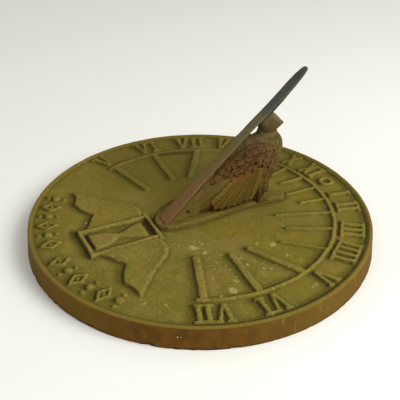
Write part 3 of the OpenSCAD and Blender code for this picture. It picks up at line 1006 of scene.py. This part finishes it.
def smoothRun(rows, steps):
    # a smooth run through the given rows, and any number of values in each
    rows = np.array(rows, float)
    t = np.linspace(0, len(rows) - 1, steps) if np.isscalar(steps) else np.asarray(steps, float)
    i = np.clip(np.floor(t).astype(int), 0, len(rows) - 2)
    u = (t - i)[:, None]
    padded = np.vstack([2 * rows[0] - rows[1], rows, 2 * rows[-1] - rows[-2]])
    a, b, c, d = (padded[i + k] for k in range(4))
    squared = (2 * a - 5 * b + 4 * c - d) * u ** 2
    cubed = (3 * b - a - 3 * c + d) * u ** 3
    return 0.5 * (2 * b + (c - a) * u + squared + cubed)


def ovalRing(backY, backZ, frontY, frontZ, half, count=48):
    turn = roundTurn(count)
    fuller = np.sign(np.sin(turn)) * np.abs(np.sin(turn)) ** 0.85
    y = (backY + frontY) / 2 + (backY - frontY) / 2 * np.cos(turn)
    z = (backZ + frontZ) / 2 + (backZ - frontZ) / 2 * np.cos(turn)
    return np.stack([half * fuller, y, fieldZ + z], 1)


def headRing(y, top, bottom, crown, cheek):
    # a flat crown with a crisp edge, then the cheek, drawn in to the throat
    tall = top - bottom
    east = np.array([[0, 0.0], [crown * 0.6, 0.02], [crown, 0.09], [crown * 1.06, 0.2], [cheek * 0.98, 0.36],
                     [cheek, 0.55], [cheek * 0.9, 0.76], [cheek * 0.6, 0.93], [0, 1.0]])
    section = np.vstack([east, mirrorX(east[1:-1])[::-1]])
    return np.stack([section[:, 0], np.full(len(section), y), fieldZ + top - tall * section[:, 1]], 1)


def onWing(u, v):
    # a point of the wing's outer face: u from tip (0) to shoulder (1), v from upper edge to lower edge
    row = smoothRun(bird["wing"], np.asarray(u) * (len(bird["wing"]) - 1))
    share = np.asarray(v)[:, None]
    yz = row[:, 0:2] * (1 - share) + row[:, 2:4] * share
    out = row[:, 4] - bird["wingCurl"] * (2 * np.asarray(v) - 1) ** 2
    return np.column_stack([out, yz])


plumes = {
    # all in the plane of the wing: y north, z above the field; angles from the north, down as minus
    "tail": {"root": [27, 33.0], "angle": -137, "length": 44, "count": 4, "spacing": 4.6, "width": 6.4},
    # each flight feather: [root, tip]
    "flights": [[29, 34.5, 5.6, 11.6], [31.5, 34.2, 8.6, 6.4], [34.2, 34.6, 13.2, 5.6],
                [36.6, 35.4, 18.2, 6.0], [38.8, 36.2, 23, 6.8], [40.8, 36.8, 27.8, 7.6],
                [42.8, 36.5, 32.4, 8.8], [44.4, 36, 36.6, 10.0]],
    "flightWidth": 4.9,
    # coverts stand in staggered rows within this outline of their tips: [y, z]
    "coverts": {
        "reach": 14, "rowPitch": 3.3, "columnPitch": 4.1, "length": 9.2, "width": 5.2, "lie": -137,
        "frontLie": -100, "stray": 19,
        "outline": [[-0.5, 26.5], [5, 29.6], [13.4, 30.0], [18.7, 30.0], [25, 28.6], [29.5, 29.4],
                    [32.7, 31.2], [35.9, 34.7], [39.9, 37.1], [44.8, 36.7], [50.8, 32.9], [53.5, 33.5],
                    [55.6, 37], [56.8, 41.5], [57.4, 48], [55.4, 55], [51, 54.4], [46, 55.6], [40, 56.6],
                    [34, 56.4], [28, 52.8], [20, 45.2], [12, 38.2]],
    },
}
# 0 is the bird's skin where no feather is cut
featherKinds = {"tail": 1.0, "flight": 2.0, "covert": 3.0}
featherTraits = ("along", "beside", "tone", "kind", "tipward")
feathers = []


def addFeather(root, tip, width, lift, kind):
    feathers.append({"root": np.array(root, float), "tip": np.array(tip, float), "width": width,
                     "lift": lift, "kind": kind})


def layPlumage():
    chance = np.random.default_rng(bird["seed"])
    tail = plumes["tail"]
    ahead = heading(tail["angle"])
    aside = np.array([-ahead[1], ahead[0]])
    for k in range(tail["count"])[::-1]:
        root = np.array(tail["root"]) - aside * tail["spacing"] * k
        addFeather(root, root + ahead * (tail["length"] + k), tail["width"], 0.2, featherKinds["tail"])
    for flight in plumes["flights"]:
        tip = np.array(flight[2:]) + chance.uniform(-0.5, 0.5, 2)
        width = plumes["flightWidth"] * chance.uniform(0.95, 1.2)
        addFeather(flight[:2], tip, width, chance.uniform(1.5, 2.0), featherKinds["flight"])
    coverts = plumes["coverts"]
    outline = np.array(coverts["outline"])
    ahead = heading(coverts["lie"])
    aside = np.array([-ahead[1], ahead[0]])
    middle = outline.mean(0)
    reach = coverts["reach"]
    for row in range(reach, -reach - 1, -1):
        for column in range(1 - reach, reach):
            out = (row + chance.uniform(-0.4, 0.4)) * coverts["rowPitch"]
            beside = (column + 0.5 * (row % 2) + chance.uniform(-0.4, 0.4)) * coverts["columnPitch"]
            tip = middle + ahead * out + aside * beside
            if insideDistance(tip[None], outline)[0] < 0:
                continue
            # they turn down towards the front of the wing
            lie = np.interp(tip[0], [34, 55], [coverts["lie"], coverts["frontLie"]])
            root = heading(lie + chance.uniform(-coverts["stray"], coverts["stray"]))
            small = np.interp(tip[0], [5, 50], [1.0, 0.8])
            length = coverts["length"] * chance.uniform(0.85, 1.15) * small
            width = coverts["width"] * chance.uniform(0.7, 1.35) * small
            addFeather(tip - root * length, tip, width, chance.uniform(0.5, 1.25), featherKinds["covert"])


layPlumage()
print("feathers", len(feathers))


def lieOfFeathers(face, side):
    # what the topmost feather does at each point of the wing: its lift, and its own measures
    result = {label: np.zeros(len(face)) for label in featherTraits}
    lift = np.full(len(face), -1.0)
    tones = np.random.default_rng(bird["seed"] + (1 if side > 0 else 2))
    ragged = heap(face, (0.12, 1.8, 61), (0.08, 4.0, 62))
    for feather in feathers:
        run = feather["tip"] - feather["root"]
        length = np.linalg.norm(run)
        ahead = run / length
        away = face[:, 1:] - feather["root"]
        torn = ragged if feather["kind"] == featherKinds["covert"] else ragged * 0.35
        # s runs from the root (0) to the tip (1), t across from edge (-1) to edge (1)
        s = away @ ahead / length + torn * 3 / length
        t = away @ np.array([-ahead[1], ahead[0]]) / (feather["width"] / 2) + torn * 2
        roundTip = feather["width"] * 0.72 / length
        past = np.clip((s - (1 - roundTip)) / roundTip, 0, 1)
        reach = np.clip(1 - past ** 1.9, 0, 1) ** 0.6 * (0.66 + 0.34 * softStep(s / 0.7))
        covers = (s > 0) & (s < 1) & (np.abs(t) < reach)
        rib = 0.12 * np.exp(-(t / 0.16) ** 2) * softStep((0.95 - s) * 6)
        arch = 0.75 if feather["kind"] == featherKinds["flight"] else 0.42
        tipward = np.clip(s, 0, 1)
        level = feather["lift"] * (0.15 + 0.85 * tipward ** 1.2) - arch * t * t + rib
        lift[covers] = level[covers] * bird["plumage"]
        for label, values in (("along", s * length), ("beside", t), ("tipward", tipward)):
            result[label][covers] = values[covers]
        result["tone"][covers] = tones.uniform()
        result["kind"][covers] = feather["kind"]
    return lift, result


def wingSlab(side, clump):
    # the wing's outer face as a fine sheet with the feathers' steps in it, and a thick inside
    across, down = bird["sheet"]
    u, v = np.meshgrid(np.linspace(0, 1, across), np.linspace(0, 1, down), indexing="ij")
    face = onWing(u.ravel(), v.ravel())
    lift, measures = lieOfFeathers(face, side)
    outer = face + lift[:, None] * [1, 0, 0]
    inner = face - [3.4, 0, 0]
    mirror, height = [side, 1, 1], [0, 0, fieldZ]
    points = np.vstack([outer, inner]) * mirror + height
    shown = lift > -0.9
    covered = shown.reshape(across, down)
    cells = covered[:-1, :-1] & covered[1:, :-1] & covered[:-1, 1:] & covered[1:, 1:]
    framed = np.pad(cells, 1)
    number = np.arange(across * down).reshape(across, down)
    base = across * down
    faces = []
    for i, j in zip(*np.where(cells)):
        a, b, c, d = number[i, j], number[i + 1, j], number[i + 1, j + 1], number[i, j + 1]
        faces += [[a, b, c, d], [base + d, base + c, base + b, base + a]]
        # a wall between the two sheets wherever the next cell is empty
        for stepI, stepJ, p, q in ((-1, 0, a, d), (1, 0, c, b), (0, -1, b, a), (0, 1, d, c)):
            if not framed[i + 1 + stepI, j + 1 + stepJ]:
                faces.append([p, q, base + q, base + p])
    faces = np.array(faces)
    used, renumbered = np.unique(faces, return_inverse=True)
    clump.add(points[used], renumbered.reshape(faces.shape).tolist())
    measures = {label: values[shown] for label, values in measures.items()}
    measures["place"] = (face * mirror + height)[shown]
    return measures


def addLegs(clump):
    count = 20
    turn = roundTurn(count)
    for side in (-1, 1):
        clump.ball([side * 4.6, 46.6, fieldZ + 21.5], [4.8, 7.4, 14.0])
        for bearing in (-60, -20, 20, 60, 100):
            # long grooved feathers down the thigh
            east, north = heading(bearing)
            clump.ball([side * (4.6 + 3.9 * east), 46.6 + 6.1 * north, fieldZ + 22], [1.2, 1.4, 11.5])
        leg = smoothRun(bird["leg"], 12)
        rings = []
        for x, y, z, r in leg[::-1]:
            ring = [side * x + r * np.cos(turn), y + r * np.sin(turn), np.full(count, fieldZ + z)]
            rings.append(np.stack(ring, 1))
        clump.loft(rings)
        for bearing in (-30, 0, 30):
            north, east = heading(bearing)
            toe = []
            for d in (0, 2, 4, 6, 7.4):
                x, y, z = side * 4.2 + d * east, 47 + d * north, fieldZ + 4.3
                r = 1.35 - 0.12 * d
                toe.append(np.stack([x + r * np.cos(turn), np.full(count, y), z + r * np.sin(turn)], 1))
            clump.loft(toe)


birdClump = Clump()
birdClump.loft([ovalRing(*row) for row in smoothRun(bird["body"], 70)])
birdClump.loft([headRing(*row) for row in smoothRun(bird["head"], 40)])
plumage = [wingSlab(side, birdClump) for side in (-1, 1)]
addLegs(birdClump)
birdObject = birdClump.cast("birdCasting", bird["voxel"], 2)


def keepBelowStyle(piece):
    # whatever would stand through the style is drawn back under it
    points = pointsOf(piece.data)
    points[:, 2] = np.minimum(points[:, 2], styleUnder(points[:, 1]) + 0.9)
    setPoints(piece.data, points)


keepBelowStyle(birdObject)
roughen(birdObject, 0.09, birdLow, birdHigh, 51)
print("bird", len(birdObject.data.polygons), "faces")


def carryPlumage(piece, plumage):
    # gives the fused skin each feather's own measures, from the nearest point of the wing sheets
    points = pointsOf(piece.data)
    traits = {label: np.zeros(len(points)) for label in featherTraits}
    for sheet in plumage:
        # every third point of the sheet is close enough
        sheet = {label: values[::3] for label, values in sheet.items()}
        places = sheet["place"]
        tree = KDTree(len(places))
        for index, place in enumerate(places):
            tree.insert(place, index)
        tree.balance()
        side = np.sign(places[0, 0])
        for vertex in np.where((points[:, 0] * side > 1.5) & (points[:, 2] < fieldZ + 61))[0]:
            _, index, gap = tree.find(points[vertex])
            if gap < 1.9:
                for label in traits:
                    traits[label][vertex] = sheet[label][index]
    addTraits(piece.data, traits)


carryPlumage(birdObject, plumage)
print("plumage carried")


def tint(red, green, blue):
    # a colour as a photograph shows it, 0 to 255, made linear
    def linear(level):
        level /= 255
        return level / 12.92 if level <= 0.04045 else ((level + 0.055) / 1.055) ** 2.4
    return (linear(red), linear(green), linear(blue), 1.0)


class Wire:
    # one socket of a finish; + - * / add Math nodes
    def __init__(self, finish, socket):
        self.finish = finish
        self.socket = socket

    def math(self, operation, *others):
        sockets = dict(enumerate((self,) + others))
        return self.finish.node("ShaderNodeMath", {"operation": operation}, sockets)

    def reflected(self, operation, other):
        return self.finish.node("ShaderNodeMath", {"operation": operation}, {0: other, 1: self})

    def __add__(self, other):
        return self.math("ADD", other)

    __radd__ = __add__

    def __sub__(self, other):
        return self.math("SUBTRACT", other)

    def __rsub__(self, other):
        return self.reflected("SUBTRACT", other)

    def __mul__(self, other):
        return self.math("MULTIPLY", other)

    __rmul__ = __mul__

    def __truediv__(self, other):
        return self.math("DIVIDE", other)

    def __rtruediv__(self, other):
        return self.reflected("DIVIDE", other)

    def between(self, low, high):
        # 0 at low, 1 at high, smooth in between; low may be above high
        settings = {"interpolation_type": "SMOOTHSTEP"}
        sockets = {"Value": self, "From Min": low, "From Max": high, "To Min": 0.0, "To Max": 1.0}
        return self.finish.node("ShaderNodeMapRange", settings, sockets)


class Finish:
    # one material; node() adds a node of any type: settings first, then the values or links of its sockets
    def __init__(self, name, tints=None):
        self.material = bpy.data.materials.new(name)
        self.material.use_nodes = True
        self.tree = self.material.node_tree
        self.tree.nodes.clear()
        self.tints = tints
        self.place = self.node("ShaderNodeTexCoord", out="Object")

    def node(self, kind, settings=None, sockets=None, out=0):
        made = self.tree.nodes.new(kind)
        for key, value in (settings or {}).items():
            setattr(made, key, value)
        for key, value in (sockets or {}).items():
            if isinstance(value, Wire):
                self.tree.links.new(value.socket, made.inputs[key])
            else:
                made.inputs[key].default_value = value
        return Wire(self, made.outputs[out])

    def trait(self, label):
        return self.node("ShaderNodeAttribute", {"attribute_name": label}, out="Fac")

    def axis(self, index):
        return self.node("ShaderNodeSeparateXYZ", None, {0: self.place}, out=index)

    def grain(self, sizeMm, detail=3.0, rough=0.55, warp=0.0, place=None):
        # noise from 0 to 1 whose lumps are about sizeMm across
        sockets = {"Vector": place or self.place, "Scale": 1 / (sizeMm * mm), "Detail": detail,
                   "Roughness": rough, "Distortion": warp}
        return self.node("ShaderNodeTexNoise", None, sockets, out="Fac")

    def cells(self, sizeMm):
        sockets = {"Vector": self.place, "Scale": 1 / (sizeMm * mm)}
        return self.node("ShaderNodeTexVoronoi", None, sockets, out="Distance")

    def blend(self, share, first, second):
        # first and second are wires, colours, or names from this finish's tints
        first, second = (self.tints[end] if isinstance(end, str) else end for end in (first, second))
        sockets = {"Factor": share, 6: first, 7: second}
        return self.node("ShaderNodeMix", {"data_type": "RGBA"}, sockets, out=2)

    def coat(self, share, tone):
        # lays another colour over what the finish has so far
        self.colour = self.blend(share, self.colour, tone)

    def near(self, spotMm, radiusMm, wobble):
        # 1 within a spot of the dial, fading at its ragged edge
        ends = {0: self.place, 1: tuple(value * mm for value in spotMm)}
        away = self.node("ShaderNodeVectorMath", {"operation": "DISTANCE"}, ends, out="Value")
        radius = radiusMm * mm
        return (away + (wobble - 0.5) * (radius * 0.9)).between(radius * 1.15, radius * 0.8)

    def finish(self, roughness, height, depthMm, specular=0.12, metallic=0.0):
        grooves = {"Strength": 1.0, "Distance": depthMm * mm, "Height": height}
        bump = self.node("ShaderNodeBump", None, grooves)
        sockets = {"Base Color": self.colour, "Roughness": roughness, "Metallic": metallic,
                   "Specular IOR Level": specular, "Normal": bump}
        surface = self.node("ShaderNodeBsdfPrincipled", None, sockets)
        output = self.tree.nodes.new("ShaderNodeOutputMaterial")
        self.tree.links.new(surface.socket, output.inputs["Surface"])
        return self.material


patina = {
    "olive": tint(119, 104, 32),
    "moss": tint(108, 98, 32),
    "ochre": tint(138, 114, 42),
    "tan": tint(126, 104, 54),
    "crevice": tint(52, 46, 13),
    "stripShade": tint(44, 34, 17),
    "paintedShade": tint(82, 74, 22),
    "worn": tint(150, 134, 66),
    "lichen": tint(184, 172, 100),
    "rim": tint(124, 98, 40),
    "rustWall": tint(104, 70, 20),
    "rustDark": tint(90, 60, 18),
    "oliveWall": tint(108, 86, 28),
    "crust": tint(92, 54, 28),
    "crustDark": tint(48, 28, 14),
    "streak": tint(150, 128, 60),
    "underside": tint(84, 58, 30),
    "fleck": tint(232, 226, 186),
    "flecks": [[-17.4, -63.8, 16.2], [-21.7, -82.0, 15.4], [37.8, 50.2, 15.4], [35.3, -70.4, 16.2]],
    "wallFlecks": [[111.5, -60.6, 9.6], [110.6, -62.4, 9.6]],
    "rustStreak": [49.2, -63.7, 16.4],
}


def dialFinish():
    look = Finish("olivePatina", patina)
    broad = look.grain(38, 3, 0.6)
    patches = look.grain(11, 4, 0.62, 0.6)
    fine = look.grain(2.2, 4, 0.65)
    speck = look.grain(0.7, 2, 0.6)
    look.colour = look.blend(broad.between(0.38, 0.62), "olive", "moss")
    look.coat(patches.between(0.48, 0.72) * 0.55, "ochre")
    look.coat(look.grain(23, 3, 0.6, 0.4).between(0.5, 0.68) * 0.45, "tan")
    pale = look.grain(27, 3, 0.6, 0.8).between(0.5, 0.66)
    look.coat(pale * 0.18, "worn")
    raised = look.trait("raised")
    specks = look.grain(1.1, 2, 0.7)
    look.coat(fine.between(0.44, 0.68) * 0.26, "worn")
    look.coat(speck.between(0.44, 0.32) * 0.4, "crevice")
    # painted shade in broad hollows and painted cast shadows of the higher relief
    look.coat(look.trait("paintedShade") * (0.45 + 0.6 * patches), "paintedShade")
    look.coat(raised * fine.between(0.35, 0.62) * 0.14, "worn")
    # painted highlight on the slopes that face the key light
    look.coat(look.trait("litSlope") * fine.between(0.3, 0.6) * 0.5, "worn")
    # dirt and painted shade in the hollows, with more painted shade on each ridge's side away from the key
    # light
    dirtAndShade = look.trait("dirtAndShade")
    depth = dirtAndShade * (0.35 + 1.3 * patches) + (fine - 0.5) * dirtAndShade * 1.8
    look.coat(depth.math("MINIMUM", 0.92).math("MAXIMUM", 0.0), "crevice")
    # painted shade in the listed strips
    look.coat(look.trait("stripShade") * (0.6 + 0.5 * fine), "stripShade")
    look.coat(specks.between(0.62, 0.7) * (0.22 + 0.12 * raised), "lichen")
    spots = look.trait("spots") + (fine - 0.5) * 2.0
    look.coat(spots.between(0.42, 0.9) * 0.5, "lichen")
    look.coat(look.near(patina["rustStreak"], 2.4, fine) * 0.4, tint(150, 96, 34))
    for spot in patina["flecks"]:
        look.coat(look.near(spot, 0.75, speck), "fleck")
    # painted shadow of the gnomon: the field is darker to its west
    east = look.axis(0)
    north = look.axis(1)
    climb = look.axis(2)
    gnomonShadow = (east * -1 + (broad - 0.5) * 0.05).between(0.0, 0.07) * north.between(-0.075, -0.02)
    look.coat(gnomonShadow * (0.2 + 0.5 * patches), "paintedShade")
    # the wall is rust brown, olive again where rain has run down its east side
    rust = look.blend(patches.between(0.4, 0.62), "rustWall", "rustDark")
    eastSide = (east * 0.75 + north).between(0.05, 0.14)
    rust = look.blend(eastSide * (0.45 + 0.5 * broad), rust, "oliveWall")
    southSide = (north * -1).between(0.08, 0.12)
    rust = look.blend(southSide * (0.35 + 0.4 * broad), rust, "oliveWall")
    upright = {0: look.place, 1: (1.0, 1.0, 0.15)}
    stretched = look.node("ShaderNodeVectorMath", {"operation": "MULTIPLY"}, upright)
    runs = look.grain(3.2, 3, 0.6, 0.0, stretched)
    rust = look.blend(runs.between(0.58, 0.72) * (0.15 + 0.5 * eastSide), rust, "streak")
    rust = look.blend(climb.between(0.005, 0.0005) * 0.35, rust, "rustDark")
    crust = (look.trait("crust") + (fine - 0.5) * 0.9).between(0.3, 0.75)
    rust = look.blend(crust, rust, look.blend(speck.between(0.42, 0.6), "crust", "crustDark"))
    for spot in patina["wallFlecks"]:
        rust = look.blend(look.near(spot, 0.7, speck), rust, "fleck")
    look.coat(look.trait("wall"), rust)
    look.coat(look.trait("rim") * (0.2 + 0.7 * fine), "rim")
    below = look.blend(patches.between(0.4, 0.6), "underside", "rustDark")
    look.coat(look.trait("under"), below)
    height = fine * 0.5 + speck * 0.5
    return look.finish(0.84 + 0.14 * patches, height, 0.85)


gnomonTints = {
    "rustBase": tint(119, 88, 43),
    "pinkish": tint(128, 90, 56),
    "middle": tint(108, 91, 47),
    "greyOlive": tint(101, 97, 66),
    "slate": tint(74, 79, 70),
    "slateDark": tint(60, 68, 60),
    "worn": tint(132, 124, 90),
    "brown": tint(92, 66, 34),
    "dark": tint(36, 28, 14),
    "paleWorn": patina["worn"],
    "pitShade": [4.3, -11.7, fieldZ + 8.4],
    "footOlive": tint(102, 86, 29),
    "footRust": tint(96, 75, 31),
    "flank": tint(40, 38, 24),
    "flankLow": tint(84, 62, 30),
    "web": tint(108, 85, 36),
}


def styleFinish():
    look = Finish("slateStyle", gnomonTints)
    patches = look.grain(9, 4, 0.6, 0.5)
    fine = look.grain(1.8, 4, 0.62)
    speck = look.grain(0.6, 2, 0.6)
    level = look.trait("alongStyle") + (patches - 0.5) * 0.14
    look.colour = look.blend(level.between(0.24, 0.38), "rustBase", "middle")
    pinkish = look.grain(6, 4, 0.65, 0.4).between(0.44, 0.62) * level.between(0.52, 0.3)
    look.coat(pinkish * 0.6, "pinkish")
    look.coat(level.between(0.46, 0.6), "greyOlive")
    look.coat(level.between(0.68, 0.76), "slate")
    look.coat(level.between(0.84, 0.95) * 0.6, "slateDark")
    brown = look.grain(5, 3, 0.6, 0.3).between(0.52, 0.68) * level.between(0.75, 0.6)
    look.coat(brown * 0.4, "brown")
    look.coat(fine.between(0.5, 0.7) * 0.22, "worn")
    look.coat(speck.between(0.4, 0.3) * 0.6, "dark")
    crevice = look.trait("crevice")
    look.coat(crevice.between(-0.25, -0.9) * 0.2, "worn")
    # painted shade on the bar's flanks, browner on its lower half, none at the root
    flank = look.blend(level.between(0.5, 0.62), "flankLow", "flank")
    look.coat(look.trait("flank") * (0.72 + 0.2 * fine) * level.between(0.0, 0.14), flank)
    web = look.blend(patches.between(0.42, 0.62), "web", "footOlive")
    web = look.blend(fine.between(0.5, 0.7) * 0.3, web, "paleWorn")
    # painted shade of a small pit on each side of the web
    for side in (-1, 1):
        x, y, z = gnomonTints["pitShade"]
        web = look.blend(look.near((side * x, y, z), 1.4, fine * 3 - 1) * 0.9, web, "dark")
    look.coat(look.trait("web"), web)
    # painted shade in creases and broad hollows
    look.coat(crevice.between(0.1, 0.9) * 0.85, "dark")
    look.coat(look.trait("occlusion").between(0.25, 1.0) * 0.5, "dark")
    return look.finish(0.68 + 0.25 * patches, fine * 0.5 + speck * 0.5, 0.6, specular=0.2)


def footFinish():
    look = Finish("olivePatinaFoot", gnomonTints)
    patches = look.grain(10, 4, 0.6, 0.5)
    fine = look.grain(2.0, 4, 0.62)
    speck = look.grain(0.7, 2, 0.6)
    north = look.axis(1) + (patches - 0.5) * 0.03
    look.colour = look.blend(north.between(-0.03, -0.012), "footRust", "footOlive")
    look.coat(patches.between(0.52, 0.7) * 0.5, "footRust")
    look.coat(fine.between(0.45, 0.7) * 0.3, "paleWorn")
    crevice = look.trait("crevice")
    look.coat(crevice.between(-0.15, -0.6) * 0.15, "paleWorn")
    # painted shade along the foot's lowest edge, where it meets the dial
    low = look.axis(2).between(footLow[2] * mm + 0.0012, footLow[2] * mm + 0.0002)
    look.coat(low * 0.9, "dark")
    # painted shade in creases
    look.coat(crevice.between(0.1, 0.9) * 0.8, "dark")
    return look.finish(0.8 + 0.18 * patches, fine * 0.5 + speck * 0.5, 0.7)


plumageTints = {
    "body": tint(104, 80, 34),
    "bodyOlive": tint(104, 88, 44),
    "mantle": tint(92, 80, 45),
    "covert": tint(83, 57, 27),
    "covertLight": tint(100, 73, 38),
    "covertRoot": tint(50, 36, 19),
    "covertTipHighlight": tint(118, 88, 50),
    "covertFront": tint(104, 84, 48),
    "flight": tint(88, 68, 24),
    "flightLight": tint(118, 94, 34),
    "thigh": tint(93, 72, 28),
    "inner": tint(106, 86, 36),
    "crown": tint(98, 92, 64),
    "cheek": tint(82, 70, 38),
    "orange": tint(132, 84, 40),
    "dark": tint(38, 26, 10),
    # the brightest covert tips on each wing: [y, height above the field]
    "brightTips": [[22.0, 30.6], [26.0, 30.4], [29.5, 31.4], [33.0, 33.2]],
}


def birdFinish():
    look = Finish("rustPlumage", plumageTints)
    patches = look.grain(8, 4, 0.6, 0.5)
    fine = look.grain(1.6, 4, 0.62)
    speck = look.grain(0.6, 2, 0.6)
    kind = look.trait("kind")
    tone = look.trait("tone")
    crevice = look.trait("crevice")
    climb = look.axis(2)
    north = look.axis(1)
    look.colour = look.blend(patches.between(0.4, 0.62), "body", "bodyOlive")
    look.coat(climb.between(0.05, 0.04), "thigh")
    look.coat((climb + (patches - 0.5) * 0.01).between(0.064, 0.072) * 0.85, "mantle")
    # the head gets a darker tone: painted shade on its cheeks
    look.coat((climb + (patches - 0.5) * 0.004).between(0.075, 0.078), "cheek")
    # painted highlight: the upward facets of the crown and the beak are paler than the shaded cheeks
    ahead = (climb + north * 0.9).between(0.1365, 0.1385)
    above = (climb - north * 0.9004).between(0.0398, 0.0410)
    isHead = climb.between(0.077, 0.079)
    look.coat(ahead.math("MAXIMUM", above * 0.75) * isHead, "crown")
    inner = look.blend(tone * 0.6, "inner", "bodyOlive")
    look.coat(kind.between(0.3, 0.9), inner)
    flight = look.blend(tone * 0.7, "flight", "flightLight")
    # painted highlight along one edge of each flight feather
    flight = look.blend(look.trait("beside").between(-0.2, -0.8) * 0.6, flight, "flightLight")
    look.coat(kind.between(1.3, 1.9), flight)
    tipward = look.trait("tipward")
    covert = look.blend(tone * 0.8, "covert", "covertLight")
    # painted shade at each covert's root, under the row above, and a painted highlight at its tip
    covert = look.blend(tipward.between(0.72, 0.3) * 0.75, covert, "covertRoot")
    covert = look.blend(tipward.between(0.84, 0.97) * 0.5, covert, "covertTipHighlight")
    covert = look.blend(north.between(0.036, 0.056) * 0.35, covert, "covertFront")
    # the coverts darken towards the upper edge of the wing
    upper = (climb - 0.45 * north + (patches - 0.5) * 0.008).between(0.045, 0.054)
    covert = look.blend(upper * 0.5, covert, "covertRoot")
    look.coat(kind.between(2.3, 2.9), covert)
    look.coat(fine.between(0.5, 0.72) * 0.25, "flightLight")
    for side in (-1, 1):
        for y, z in plumageTints["brightTips"]:
            look.coat(look.near((side * 10.4, y, fieldZ + z), 2.3, fine) * 0.6, "orange")
    # small scales on the breast and the back, where there is no cut feather
    scales = look.cells(3.0) * kind.between(0.4, 0.1) * climb.between(0.08, 0.074)
    look.coat(scales.between(0.42, 0.7) * 0.45, "covertRoot")
    # painted shade in creases and broad hollows
    look.coat(crevice.between(0.08, 0.8) * 0.9, "dark")
    look.coat(look.trait("occlusion").between(0.2, 1.0) * 0.5, "dark")
    look.coat(crevice.between(-0.2, -0.9) * 0.4, "flightLight")
    slant = look.trait("along") + look.trait("beside").math("ABSOLUTE") * 2.2
    barbs = (slant * 5.2).math("SINE")
    height = fine * 0.5 + speck * 0.3 + barbs * kind.between(0.5, 0.9) * 0.06 - scales * 0.7
    return look.finish(0.78 + 0.18 * patches, height, 0.6)


def steelFinish():
    look = Finish("weatheredSteel")
    patches = look.grain(5, 4, 0.6, 0.4)
    fine = look.grain(0.9, 3, 0.6)
    look.colour = look.blend(patches.between(0.42, 0.6), tint(132, 126, 118), tint(92, 66, 46))
    look.coat(fine.between(0.5, 0.72) * 0.4, tint(70, 50, 36))
    return look.finish(0.35 + 0.4 * patches, fine, 0.15, specular=0.5, metallic=0.7)


dressed = [(dialObject, dialFinish, "dial_plate"), (footObject, footFinish, "gnomon_foot"),
           (styleObject, styleFinish, "gnomon_style"), (birdObject, birdFinish, "bird")]
for piece, finish, node in dressed:
    piece.data.materials.clear()
    piece.data.materials.append(finish())
    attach(piece, "root")
    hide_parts(node)
steel = steelFinish()
for node in ("gnomon_screws", "screw_washers"):
    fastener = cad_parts[node]
    fastener.data.materials.clear()
    fastener.data.materials.append(steel)
print("finishes set")

stage = {
    "floorHalf": 6.0,
    "floorTint": tint(246, 246, 237),
    "backdropTint": tint(232, 232, 222),
    "worldStrength": 0.48,
    "keyPower": 11.5,
    "keyPlace": (0.66, 0.5, 0.8),
    "keySize": 0.7,
    "fillPower": 2.0,
    "fillPlace": (0.2, -1.2, 0.7),
    "fillSize": 1.2,
    "lightAim": (0, 0, 0.03),
}


def areaLight(name, place, power, size):
    lamp = bpy.data.lights.new(name, "AREA")
    lamp.energy = power
    lamp.size = size
    holder = hang(name, lamp)
    holder.location = place
    holder.rotation_euler = (Vector(stage["lightAim"]) - Vector(place)).to_track_quat("-Z", "Y").to_euler()


areaLight("keyLight", stage["keyPlace"], stage["keyPower"], stage["keySize"])
areaLight("fillLight", stage["fillPlace"], stage["fillPower"], stage["fillSize"])

half = stage["floorHalf"] / mm
floorPoints = np.array([[-half, -half, 0], [half, -half, 0], [half, half, 0], [-half, half, 0]], float)
floor = makeMesh("floor", floorPoints, [np.array([[0, 1, 2, 3]])])
floorLook = Finish("paleFloor")
floorLook.colour = stage["floorTint"]
floor.data.materials.append(floorLook.finish(0.9, floorLook.grain(3, 3, 0.6), 0.05, specular=0.2))

world = bpy.data.worlds.new("softRoom")
bpy.context.scene.world = world
world.use_nodes = True
tree = world.node_tree
tree.nodes.clear()
rays = tree.nodes.new("ShaderNodeLightPath")
light = tree.nodes.new("ShaderNodeBackground")
light.inputs["Color"].default_value = (1, 1, 1, 1)
light.inputs["Strength"].default_value = stage["worldStrength"]
seen = tree.nodes.new("ShaderNodeBackground")
seen.inputs["Color"].default_value = stage["backdropTint"]
seen.inputs["Strength"].default_value = 1.0
pick = tree.nodes.new("ShaderNodeMixShader")
tree.links.new(rays.outputs["Is Camera Ray"], pick.inputs["Fac"])
tree.links.new(light.outputs[0], pick.inputs[1])
tree.links.new(seen.outputs[0], pick.inputs[2])
output = tree.nodes.new("ShaderNodeOutputWorld")
tree.links.new(pick.outputs[0], output.inputs["Surface"])

view = {
    # the camera solved from the rim, the ring and the hour lines
    "place": (0.43694, -0.18843, 0.33138),
    "aim": (-0.01716, 0.00717, 0.017),
    "roll": 0.24,
    "lens": 68.6,
    "sensor": 36,
}
camera = bpy.data.cameras.new("photoCamera")
camera.lens = view["lens"]
camera.sensor_width = view["sensor"]
camera.clip_start = 0.01
holder = hang("photoCamera", camera)
gaze = (Vector(view["aim"]) - Vector(view["place"])).to_track_quat("-Z", "Y").to_matrix().to_4x4()
roll = Matrix.Rotation(math.radians(view["roll"]), 4, "Z")
holder.matrix_world = Matrix.Translation(view["place"]) @ gaze @ roll
bpy.context.scene.camera = holder
bpy.context.scene.view_settings.view_transform = "Standard"
